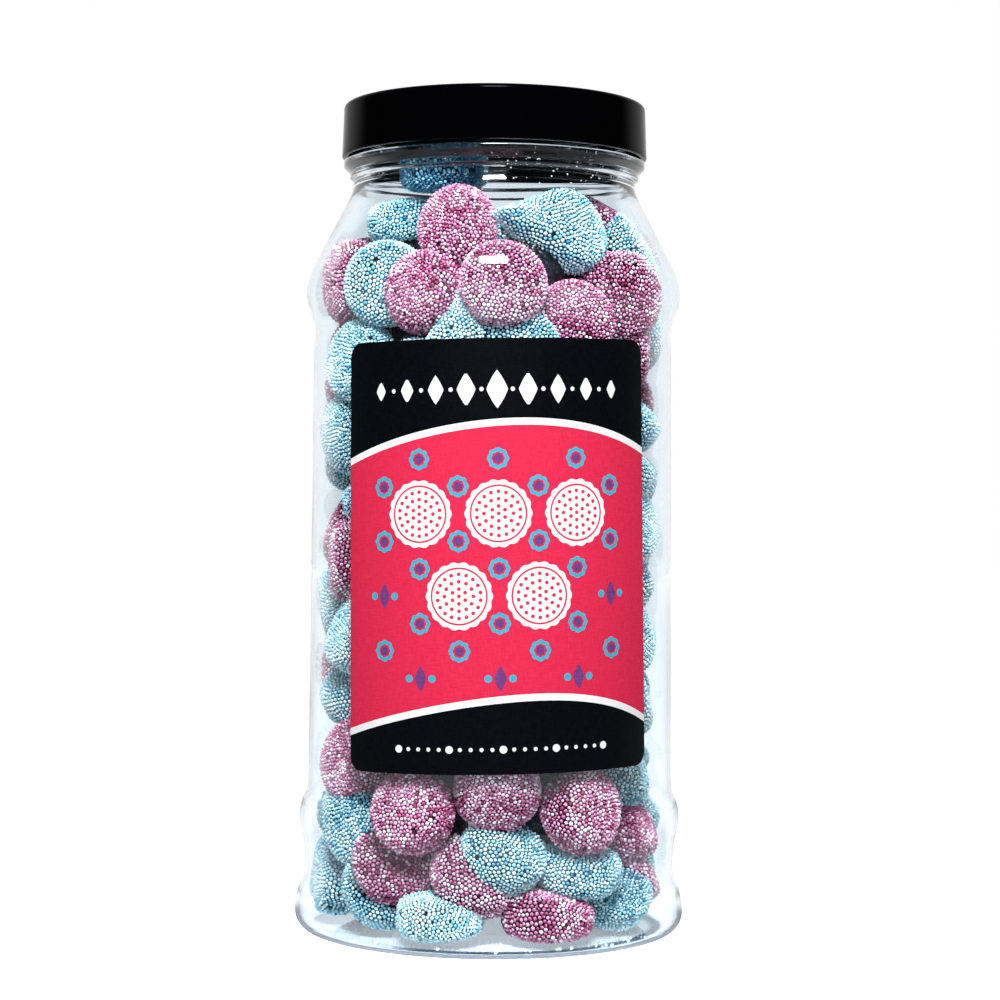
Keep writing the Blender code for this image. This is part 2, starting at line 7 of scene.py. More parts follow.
import logging
import math
import random
from collections.abc import Callable, Sequence
from dataclasses import dataclass, field
from enum import Enum

import bpy
import numpy as np
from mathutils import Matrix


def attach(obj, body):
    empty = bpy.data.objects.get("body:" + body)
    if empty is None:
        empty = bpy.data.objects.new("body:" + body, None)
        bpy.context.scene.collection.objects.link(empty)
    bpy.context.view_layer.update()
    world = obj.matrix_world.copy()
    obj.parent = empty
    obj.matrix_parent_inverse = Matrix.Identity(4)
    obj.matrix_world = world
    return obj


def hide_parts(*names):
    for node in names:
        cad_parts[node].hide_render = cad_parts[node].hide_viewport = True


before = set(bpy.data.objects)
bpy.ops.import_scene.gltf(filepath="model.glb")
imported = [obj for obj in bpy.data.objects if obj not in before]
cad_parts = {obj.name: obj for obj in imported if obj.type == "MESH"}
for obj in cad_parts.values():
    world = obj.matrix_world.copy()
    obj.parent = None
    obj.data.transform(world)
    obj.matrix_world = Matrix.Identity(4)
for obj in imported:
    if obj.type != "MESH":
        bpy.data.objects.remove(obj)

MM = 0.001
SWEET_RADIUS = 9.4
SWEET_HALF = 5.3
SQUARENESS = 3.4
NEAR_ZERO = 1e-6
Array = np.ndarray
ArrayPair = tuple[Array, Array]
Draw = np.random.Generator
Piece = bpy.types.Object
Material = bpy.types.Material
Tree = bpy.types.NodeTree
Node = bpy.types.Node
Socket = bpy.types.NodeSocket
Outline = Callable[[Array], Array]
Pair = tuple[float, float]
Triple = tuple[float, float, float]
Knots = tuple[Pair, ...]
log = logging.getLogger("jelly_jar")


class SweetColour(Enum):
    """The two colours of sweet in the jar."""

    PINK = "pink"
    BLUE = "blue"


# ---- shared helpers


def linear(code: str) -> tuple[float, float, float, float]:
    """Turn an sRGB colour into the linear one that shaders use.

    Args:
        code: the colour as "#RRGGBB".

    Returns:
        Linear red, green and blue, and an alpha of 1.
    """
    channels = [int(code[k:k + 2], 16) / 255.0 for k in (1, 3, 5)]
    red, green, blue = [c / 12.92 if c <= 0.04045 else ((c + 0.055) / 1.055) ** 2.4 for c in channels]
    return red, green, blue, 1.0


def new_material(name: str) -> tuple[Material, Tree]:
    """Start a material with an empty tree.

    Args:
        name: what the real material is.

    Returns:
        The material and its node tree.
    """
    material = bpy.data.materials.new(name)
    material.use_nodes = True
    material.node_tree.nodes.clear()
    return material, material.node_tree


def add_node(tree: Tree, kind: str, inputs: dict | None = None,
             settings: dict | None = None, stops: Sequence[tuple[float, str]] = ()) -> Node:
    """Add a node with its settings and links.

    Args:
        tree: the tree that the node joins.
        kind: the node's type name, after "ShaderNode".
        inputs: values, sockets, or nodes whose first output is linked, by input name or number.
        settings: properties of the node, by name.
        stops: places and hex colours along the node's ramp, if it has one.

    Returns:
        The new node.
    """
    node = tree.nodes.new("ShaderNode" + kind)
    for name, value in (settings or {}).items():
        setattr(node, name, value)
    for name, value in (inputs or {}).items():
        if isinstance(value, (Node, Socket)):
            source = value.outputs[0] if isinstance(value, Node) else value
            tree.links.new(source, node.inputs[name])
        else:
            node.inputs[name].default_value = value
    for k, (place, code) in enumerate(stops):
        elements = node.color_ramp.elements
        stop = elements[k] if k < len(elements) else elements.new(place)
        stop.position = place
        stop.color = linear(code)
    return node


def seen_through(tree: Tree, path: Node) -> Node:
    """Work out which rays have passed through the jar and been mirrored nowhere.

    Args:
        tree: the tree to add to.
        path: its Light Path node.

    Returns:
        1 for such a ray, otherwise 0.
    """
    return add_node(tree, "Math", {
        0: path.outputs["Is Transmission Ray"], 1: path.outputs["Glossy Depth"],
    }, {"operation": "SUBTRACT", "use_clamp": True})


def new_piece(name: str, points: Array, faces: Sequence[Array],
              materials: Sequence[Material], slots: Array | None = None) -> Piece:
    """Write a mesh from whole arrays and link it as a smooth-shaded object at the origin.

    Args:
        name: the piece's name.
        points: (n, 3) places in mm.
        faces: arrays of vertex numbers, one row a face, one array for each count of sides.
        materials: the piece's materials in slot order.
        slots: the slot number of each face, if there is more than one material.

    Returns:
        The new object.
    """
    corners = np.concatenate([group.ravel() for group in faces]).astype(np.int32)
    sides = np.concatenate([np.full(len(group), group.shape[1]) for group in faces])
    starts = np.concatenate(([0], np.cumsum(sides)[:-1])).astype(np.int32)
    mesh = bpy.data.meshes.new(name)
    mesh.vertices.add(len(points))
    mesh.vertices.foreach_set("co", (points * MM).astype(np.float32).ravel())
    mesh.loops.add(len(corners))
    mesh.loops.foreach_set("vertex_index", corners)
    mesh.polygons.add(len(sides))
    mesh.polygons.foreach_set("loop_start", starts)
    for material in materials:
        mesh.materials.append(material)
    if slots is not None:
        mesh.polygons.foreach_set("material_index", slots.astype(np.int32))
    mesh.update(calc_edges=True)
    mesh.shade_smooth()
    piece = bpy.data.objects.new(name, mesh)
    bpy.context.scene.collection.objects.link(piece)
    return piece


def set_attribute(piece: Piece, name: str, values: Array) -> None:
    """Store one number for each vertex of a piece, for its material to read."""
    attribute = piece.data.attributes.new(name, "FLOAT", "POINT")
    attribute.data.foreach_set("value", values.astype(np.float32))


def circle(count: int) -> Array:
    """Evenly spaced angles once round, in radians."""
    return 2.0 * math.pi * np.arange(count) / count


def around(radius: Array, angle: Array, height: Array) -> Array:
    """Places (r sin t, -r cos t, z) round the jar's axis."""
    return np.stack((radius * np.sin(angle), -radius * np.cos(angle), height), axis=-1)


def neighbours(count: int) -> ArrayPair:
    """Numbers of the vertices of a closed ring, and of the next one to each."""
    here = np.arange(count)
    return here, (here + 1) % count


def lattice(rows: int, columns: int, closed: bool = True) -> Array:
    """Quads between neighbouring rows of a grid of vertices, numbered row by row.

    Args:
        rows: number of rows of vertices.
        columns: number of vertices in a row.
        closed: whether each row joins up with its own start.

    Returns:
        (faces, 4) vertex numbers.
    """
    here, there = neighbours(columns)
    if not closed:
        here, there = here[:-1], there[:-1]
    row = np.arange(rows - 1)[:, None] * columns
    quads = np.stack((row + here, row + there, row + columns + there, row + columns + here), axis=2)
    return quads.reshape(-1, 4)


def capped(rows: int, columns: int) -> ArrayPair:
    """Faces of a closed grid with two more vertices after it, the poles below and above.

    Args:
        rows: number of rows of vertices.
        columns: number of vertices in a row.

    Returns:
        Quads, and the triangles round the two poles.
    """
    here, there = neighbours(columns)
    low = np.full(columns, rows * columns)
    last = (rows - 1) * columns
    low_fan = np.stack((there, here, low), axis=1)
    high_fan = np.stack((last + here, last + there, low + 1), axis=1)
    return lattice(rows, columns), np.vstack((low_fan, high_fan))


def rounded(outline: Sequence[Pair], blur: float, spacing: float) -> Array:
    """Resample a polyline evenly and round its corners by a bell-shaped running mean.

    Args:
        outline: points of the polyline.
        blur: standard width of the bell, along the line.
        spacing: distance between the new points.

    Returns:
        (n, 2) points; both ends stay where they are, because the line is carried on past each
        of them turned half round.
    """
    knots = np.array(outline, float)
    along = np.concatenate(([0.0], np.cumsum(np.linalg.norm(np.diff(knots, axis=0), axis=1))))
    even = np.linspace(0.0, along[-1], max(int(along[-1] / spacing), 2) + 1)
    line = np.stack([np.interp(even, along, knots[:, k]) for k in (0, 1)], axis=1)
    reach = min(int(3.0 * blur / spacing) + 1, len(line) - 1)
    bell = np.exp(-0.5 * (np.arange(-reach, reach + 1) * spacing / blur) ** 2)
    bell /= bell.sum()
    longer = np.pad(line, ((reach, reach), (0, 0)), mode="reflect", reflect_type="odd")
    return np.stack([np.convolve(longer[:, k], bell, "valid") for k in (0, 1)], axis=1)


def thinned(line: Array, length_step: float, turn_step: float) -> Array:
    """Keep a point of a fine line each time it has run on or turned far enough.

    Args:
        line: (n, 2) points.
        length_step: longest run between points that are kept.
        turn_step: most degrees of turn between them.

    Returns:
        The points that are kept, both ends among them.
    """
    steps = np.diff(line, axis=0)
    heading = np.unwrap(np.arctan2(steps[:, 1], steps[:, 0]))
    turn = np.abs(np.diff(heading, prepend=heading[0]))
    progress = np.cumsum(np.hypot(steps[:, 0], steps[:, 1]) / length_step + np.degrees(turn) / turn_step)
    wanted = np.arange(0.0, progress[-1], 1.0)
    picks = np.unique(np.concatenate(([0], np.searchsorted(progress, wanted) + 1, [len(line) - 1])))
    return line[picks[picks < len(line)]]


def arc(centre: Pair, radius: float, start: float, end: float, steps: int) -> list[Pair]:
    """Points along an arc in the (radius, height) plane; angles in degrees from outward."""
    angles = np.radians(np.linspace(start, end, steps + 1))
    return [(centre[0] + radius * math.cos(a), centre[1] + radius * math.sin(a)) for a in angles]


def turned_piece(name: str, profile: Array, columns: int, material: Material,
                 ridge: Callable[[Array, Array], Array] | None = None) -> Piece:
    """Turn a closed profile about Z, both of whose ends lie on the axis.

    The place at a turn t is (r sin t, -r cos t, z), with r and z from the profile and any ridge
    added to r.

    Args:
        name: the piece's name.
        profile: (n, 2) radius and height, from the axis out, up the outer side, and back to the axis.
        columns: points round the piece.
        material: its finish.
        ridge: what to add to the radius, from grids of turn and of profile points.

    Returns:
        The new object.
    """
    turn = circle(columns)
    rings = profile[1:-1]
    radius = np.repeat(rings[:, :1], columns, axis=1)
    if ridge is not None:
        radius = radius + ridge(turn, rings)
    height = np.repeat(rings[:, 1:], columns, axis=1)
    shell = around(radius, turn, height).reshape(-1, 3)
    poles = np.array([(0.0, 0.0, profile[0, 1]), (0.0, 0.0, profile[-1, 1])])
    return new_piece(name, np.vstack((shell, poles)), capped(len(rings), columns), [material])


def wall_directions(bearing: float) -> tuple[Array, Array, Array]:
    """Outward, rightward and upward unit vectors at a bearing.

    Args:
        bearing: the bearing.

    Returns:
        The three vectors.
    """
    angle = math.radians(bearing)
    outward = np.array((math.sin(angle), -math.cos(angle), 0.0))
    rightward = np.array((math.cos(angle), math.sin(angle), 0.0))
    return outward, rightward, np.array((0.0, 0.0, 1.0))


def unit(vectors: Array) -> Array:
    """Scale each row to a length of 1."""
    return vectors / np.maximum(np.linalg.norm(vectors, axis=-1, keepdims=True), 1e-9)


# ---- finishes


@dataclass(frozen=True)
class ClearPet:
    """Clear PET, stretch-blown: water-clear with a hard gloss, its wall faintly uneven.

    The eye gets bright edges where the wall turns away, small sharp highlights, and a slight
    wobble in what lies behind.
    """

    ior: float = 1.57
    roughness: float = 0.015
    tint: str = "#F3FAFF"
    shadow_tint: str = "#F4F8FA"
    wobble_size: float = 16.0
    wobble_depth: float = 0.03

    def material(self) -> Material:
        """Make the finish: a refracting shell that lets the lights' rays straight through.

        Returns:
            The material.
        """
        material, tree = new_material("clear_pet_blown")
        place = add_node(tree, "TexCoord").outputs["Object"]
        wobble = add_node(tree, "TexNoise", {
            "Vector": place, "Scale": 1.0 / (self.wobble_size * MM), "Detail": 1.0,
        })
        bump = add_node(tree, "Bump", {"Height": wobble, "Distance": self.wobble_depth * MM})
        wall = add_node(tree, "BsdfPrincipled", {
            "Base Color": linear(self.tint), "Roughness": self.roughness, "IOR": self.ior,
            "Transmission Weight": 1.0, "Normal": bump,
        })
        passing = add_node(tree, "BsdfTransparent", {"Color": linear(self.shadow_tint)})
        path = add_node(tree, "LightPath")
        mix = add_node(tree, "MixShader", {0: path.outputs["Is Shadow Ray"], 1: wall, 2: passing})
        add_node(tree, "OutputMaterial", {"Surface": mix})
        return material


@dataclass(frozen=True)
class BlackPolypropylene:
    """Black polypropylene, injection-moulded in a polished tool: deep black, glossy.

    The eye gets a near-black face, and grey light only where it turns away; handling leaves faint
    upright rubs and a very light orange-peel.
    """

    colour: str = "#020203"
    roughness: Pair = (0.10, 0.20)
    ior: float = 1.49
    specular: float = 0.02
    rub_spacing: float = 1.2
    rub_stretch: Triple = (1.0, 1.0, 0.08)
    rub_range: Pair = (0.35, 0.75)
    peel_size: float = 1.1
    peel_depth: float = 0.004

    def material(self) -> Material:
        """Make the finish, with rubs that run up the skirt in its roughness.

        Returns:
            The material.
        """
        material, tree = new_material("black_polypropylene_moulded")
        place = add_node(tree, "TexCoord").outputs["Object"]
        stretch = add_node(tree, "Mapping", {"Vector": place, "Scale": self.rub_stretch})
        rubs = add_node(tree, "TexNoise", {
            "Vector": stretch, "Scale": 1.0 / (self.rub_spacing * MM), "Detail": 3.0,
        })
        rough = add_node(tree, "MapRange", {
            "Value": rubs, "From Min": self.rub_range[0], "From Max": self.rub_range[1],
            "To Min": self.roughness[0], "To Max": self.roughness[1],
        })
        peel = add_node(tree, "TexNoise", {
            "Vector": place, "Scale": 1.0 / (self.peel_size * MM), "Detail": 2.0,
        })
        bump = add_node(tree, "Bump", {"Height": peel, "Distance": self.peel_depth * MM})
        shader = add_node(tree, "BsdfPrincipled", {
            "Base Color": linear(self.colour), "Roughness": rough, "IOR": self.ior,
            "Specular IOR Level": self.specular, "Normal": bump,
        })
        add_node(tree, "OutputMaterial", {"Surface": shader})
        return material


@dataclass(frozen=True)
class PrintedFilm:
    """Printed polypropylene label film under a satin varnish: flat strong ink with a soft sheen.

    The eye gets even colour with a fine crossed grain, like linen, that breaks the sheen up. The
    real grain is near 0.25 mm, and is drawn at 0.34 mm so that it shows.
    """

    name: str
    colour: str
    second: str
    roughness: float = 0.42
    specular: float = 0.07
    grain: float = 0.34
    grain_depth: float = 0.012
    thread_stretch: float = 0.18
    linen_range: Pair = (0.75, 1.25)

    def material(self) -> Material:
        """Make the finish, on the label's own map in millimetres.

        Returns:
            The material.
        """
        material, tree = new_material(self.name)
        chart = add_node(tree, "UVMap", {}, {"uv_map": "print"}).outputs["UV"]
        threads = []
        for scale in ((self.thread_stretch, 1.0, 1.0), (1.0, self.thread_stretch, 1.0)):
            drawn_out = add_node(tree, "Mapping", {"Vector": chart, "Scale": scale})
            threads.append(add_node(tree, "TexNoise", {
                "Vector": drawn_out, "Scale": 1.0 / self.grain, "Detail": 1.0,
            }))
        weft, warp = threads
        linen = add_node(tree, "Math", {0: weft, 1: warp}, {"operation": "ADD"})
        share = add_node(tree, "MapRange", {
            "Value": linen, "From Min": self.linen_range[0], "From Max": self.linen_range[1],
        })
        ink = add_node(tree, "Mix", {
            "Factor": share, "A": linear(self.colour), "B": linear(self.second),
        }, {"data_type": "RGBA"})
        bump = add_node(tree, "Bump", {"Height": linen, "Distance": self.grain_depth * MM})
        shader = add_node(tree, "BsdfPrincipled", {
            "Base Color": ink.outputs["Result"], "Roughness": self.roughness,
            "Specular IOR Level": self.specular, "Normal": bump,
        })
        add_node(tree, "OutputMaterial", {"Surface": shader})
        return material


@dataclass(frozen=True)
class SugarBead:
    """Hundreds-and-thousands beads: panned sugar, dyed, dry and finely matt.

    Each bead took the dye differently, so the eye gets deep, mid and pale grains side by side
    with a soft shine on each; the tone attribute says where on the ramp a bead lies, and it also
    carries painted shade on the sweets up in the neck.
    """

    name: str
    stops: tuple[tuple[float, str], ...]
    roughness: float = 0.32
    speckle: float = 0.35
    speckle_depth: float = 0.22

    def material(self) -> Material:
        """Make the finish: a ramp along the tone attribute, mottled inside each bead.

        Returns:
            The material.
        """
        material, tree = new_material(self.name)
        tone = add_node(tree, "Attribute", {}, {"attribute_name": "tone"})
        place = add_node(tree, "TexCoord").outputs["Object"]
        mottle = add_node(tree, "TexNoise", {
            "Vector": place, "Scale": 1.0 / (self.speckle * MM), "Detail": 1.0,
        })
        spread = add_node(tree, "Math", {
            0: mottle, 1: self.speckle_depth, 2: -0.5 * self.speckle_depth,
        }, {"operation": "MULTIPLY_ADD"})
        shade = add_node(tree, "Math", {0: tone.outputs["Fac"], 1: spread}, {"operation": "ADD"})
        ramp = add_node(tree, "ValToRGB", {"Fac": shade}, {}, self.stops)
        shader = add_node(tree, "BsdfPrincipled", {"Base Color": ramp, "Roughness": self.roughness})
        add_node(tree, "OutputMaterial", {"Surface": shader})
        return material


@dataclass(frozen=True)
class JellyBody:
    """Set pectin jelly, dyed through and wet-looking between the beads.

    Little of it shows: glossy colour down in the gaps, near-black there as painted shade, with pits
    where beads have dropped out.
    """

    name: str
    deep: str
    light: str
    pit: float = 0.9
    pit_depth: float = 0.25
    pit_range: Pair = (0.15, 0.6)
    roughness: float = 0.3

    def material(self) -> Material:
        """Make the finish, with a cell pattern as wide as the beads.

        Returns:
            The material.
        """
        material, tree = new_material(self.name)
        place = add_node(tree, "TexCoord").outputs["Object"]
        cells = add_node(tree, "TexVoronoi", {"Vector": place, "Scale": 1.0 / (self.pit * MM)})
        colour = add_node(tree, "MapRange", {
            "Value": cells, "From Min": self.pit_range[0],
            "From Max": self.pit_range[1], "To Min": 1.0, "To Max": 0.0,
        })
        mix = add_node(tree, "Mix", {
            "Factor": colour, "A": linear(self.deep), "B": linear(self.light),
        }, {"data_type": "RGBA"})
        bump = add_node(tree, "Bump", {"Height": cells, "Distance": self.pit_depth * MM}, {"invert": True})
        shader = add_node(tree, "BsdfPrincipled", {
            "Base Color": mix.outputs["Result"], "Roughness": self.roughness,
            "Normal": bump,
        })
        add_node(tree, "OutputMaterial", {"Surface": shader})
        return material


@dataclass(frozen=True)
class LightTable:
    """Opal acrylic shooting table, lit from below: even white, with a faint mottle close to.

    Only what looks straight at it, or through the jar, gets all of that white. Its mirror image is
    dimmer, more so of the part in front of the jar, and its bounce light is held down, as by the dark
    flags round a product shot. Under the jar a painted shadow dims its glow and turns its colour to a
    dark navy, darkest along most of the heel and lighter on one side.
    """

    colour: str = "#E6E6E6"
    mottle: str = "#DEE0E2"
    mottle_size: float = 1000.0 / 90.0
    # Painted shadow colour: the dark navy the table turns to where the painted shadow falls, and for bounce
    # light.
    painted_shade_colour: str = "#1E2E40"
    glow: float = 0.95
    fill: float = 0.14
    roughness: float = 0.8
    # Painted shadow under the jar: its level inside the heel, the radii where it deepens and lifts, and the
    # side where it is lighter.
    shade: float = 0.8
    shade_radii: tuple[float, float, float, float] = (34.4, 36.2, 37.4, 38.8)
    open_side: Pair = (-26.0, -14.0)
    mirror_edges: Pair = (0.35, 0.65)
    mirror_levels: Triple = (0.14, 0.58, 1.0)
    mirror_reach: Pair = (300.0, 2500.0)

    def material(self) -> Material:
        """Make the finish: what a ray may get of the white, times how brightly the place is lit, which
        paints the shadow under the jar.

        Returns:
            The material.
        """
        material, tree = new_material("opal_light_table")
        place = add_node(tree, "TexCoord").outputs["Object"]
        reach = add_node(tree, "VectorMath", {0: place}, {"operation": "LENGTH"}).outputs["Value"]
        looked_at = self.looked_at(tree, place, reach)
        lit = self.lit(tree, place, reach)
        lumps = add_node(tree, "TexNoise", {
            "Vector": place, "Scale": 1.0 / (self.mottle_size * MM), "Detail": 2.0,
        })
        opal = add_node(tree, "Mix", {
            "Factor": lumps, "A": linear(self.colour), "B": linear(self.mottle),
        }, {"data_type": "RGBA"})
        glow = add_node(tree, "MapRange", {"Value": looked_at, "To Min": self.fill, "To Max": self.glow})
        # Painted shadow: both the glow and the share of white colour drop where the table is shaded.
        strength, open_share = [add_node(tree, "Math", {
            0: value, 1: lit,
        }, {"operation": "MULTIPLY"}) for value in (glow, looked_at)]
        sheet = add_node(tree, "Mix", {
            "Factor": open_share, "A": linear(self.painted_shade_colour), "B": opal.outputs["Result"],
        }, {"data_type": "RGBA"})
        shader = add_node(tree, "BsdfPrincipled", {
            "Base Color": sheet.outputs["Result"], "Roughness": self.roughness, "Specular IOR Level": 0.0,
            "Emission Color": linear("#FFFFFF"), "Emission Strength": strength,
        })
        add_node(tree, "OutputMaterial", {"Surface": shader})
        return material

    def looked_at(self, tree: Tree, place: Socket, reach: Socket) -> Node:
        """Work out how much of the white a ray gets, by how it came here and by what it sees.

        Args:
            tree: the finish's tree.
            place: place on the table.
            reach: its distance from the jar's axis.

        Returns:
            1 straight on or through the jar, the mirror's level in a mirror image, 0 for bounce light.
        """
        path = add_node(tree, "LightPath")
        straight = add_node(tree, "Math", {
            0: path.outputs["Is Camera Ray"], 1: seen_through(tree, path),
        }, {"operation": "MAXIMUM"})
        bearing = add_node(tree, "VectorMath", {0: place}, {"operation": "NORMALIZE"})
        aim = add_node(tree, "SeparateXYZ", {0: bearing.outputs["Vector"]})
        front_level, near_level, far_level = self.mirror_levels
        level = add_node(tree, "MapRange", {
            "Value": reach, "From Min": self.mirror_reach[0] * MM, "From Max": self.mirror_reach[1] * MM,
            "To Min": near_level, "To Max": far_level,
        })
        behind = add_node(tree, "MapRange", {
            "Value": aim.outputs["Y"], "From Min": self.mirror_edges[0],
            "From Max": self.mirror_edges[1], "To Min": front_level, "To Max": level,
        }, {"interpolation_type": "SMOOTHSTEP"})
        mirrored = add_node(tree, "Math", {
            0: behind, 1: path.outputs["Is Diffuse Ray"],
        }, {"operation": "SUBTRACT", "use_clamp": True})
        return add_node(tree, "Math", {0: straight, 1: mirrored}, {"operation": "MAXIMUM"})

    def lit(self, tree: Tree, place: Socket, reach: Socket) -> Node:
        """Work out the painted shadow in the table's glow: dimmer under the jar, dark along most of the
        heel.

        Args:
            tree: the finish's tree.
            place: place on the table.
            reach: its distance from the jar's axis.

        Returns:
            The brightest of three shares of the painted shadow: inside the heel, outside it, and on the open
            side, where it is lighter.
        """
        parts = add_node(tree, "SeparateXYZ", {0: place})
        under, ring, heel, clear = self.shade_radii
        shares = [add_node(tree, "MapRange", {
            "Value": value, "From Min": first * MM, "From Max": last * MM, "To Min": start, "To Max": end,
        }, {"interpolation_type": "SMOOTHSTEP"}) for value, first, last, start, end in (
            (reach, under, ring, self.shade, 0.0), (reach, heel, clear, 0.0, 1.0),
            (parts.outputs["X"], *self.open_side, self.shade, 0.0),
        )]
        brightest = shares[0]
        for share in shares[1:]:
            brightest = add_node(tree, "Math", {0: brightest, 1: share}, {"operation": "MAXIMUM"})
        return brightest


PINK_BEADS = SugarBead("pink_sugar_beads", (
    (0.0, "#5E0E32"), (0.25, "#9E3965"), (0.5, "#C6799A"), (0.75, "#E1B5C9"), (1.0, "#FBEFF4"),
))
BLUE_BEADS = SugarBead("blue_sugar_beads", (
    (0.0, "#24698C"), (0.25, "#6BB0C8"), (0.5, "#A8D6E0"), (0.75, "#CFECF0"), (1.0, "#F6FFFF"),
))
WHITE_SUGAR = SugarBead("white_sugar_grains", ((0.0, "#E8EDEF"), (1.0, "#FFFFFF")))
# The jellies are near-black: painted shade for the gaps down between the beads.
PINK_JELLY = JellyBody("pink_pectin_jelly", "#16030C", "#45102A")
BLUE_JELLY = JellyBody("blue_pectin_jelly", "#030F16", "#0C3446")
# A dark grey-blue jelly, painted shade, for the core and the sweets deep in the heap.
PAINTED_SHADE_JELLY = JellyBody("painted_shade_pectin_jelly", "#05070C", "#1C2430")
BLACK_INK = PrintedFilm("label_film_black", "#030408", "#080A10")
CRIMSON_INK = PrintedFilm("label_film_crimson", "#DF2A4D", "#E53254")
WHITE_INK = PrintedFilm("label_film_white", "#F6F7F7", "#FFFFFF")
TURQUOISE_INK = PrintedFilm("label_film_turquoise", "#3DA9C6", "#4DB7D2")
VIOLET_INK = PrintedFilm("label_film_violet", "#6B3B78", "#7A4788")


# ---- jar


@dataclass
class ScrewThread:
    """One helical ridge: rounded in section, running out smoothly at both ends."""

    start_height: float
    crest: float
    pitch: float = 3.6
    turns: float = 1.5
    half_width: float = 0.85
    run_out: float = 0.08

    def ridge(self, turn: Array, rings: Array) -> Array:
        """Height of the ridge above the bore or finish it stands on.

        At each turn the helix passes the heights start + pitch (turn / circle + n). The ridge is a
        squared cosine across its width, times a ramp at each end of the helix.

        Args:
            turn: angles round the axis, in radians.
            rings: (n, 2) profile points.

        Returns:
            (n, columns) heights in mm.
        """
        total = np.zeros((len(rings), len(turn)))
        for lap in range(math.ceil(self.turns)):
            progress = turn / (2.0 * math.pi) + lap
            centre = self.start_height + self.pitch * progress
            ends = np.minimum(progress, self.turns - progress) / self.run_out
            ramp = np.clip(ends, 0.0, 1.0)
            across = (rings[:, 1:] - centre) / self.half_width
            bump = np.where(np.abs(across) < 1.0, np.cos(0.5 * math.pi * across) ** 2, 0.0)
            total = np.maximum(total, self.crest * ramp * bump)
        return total


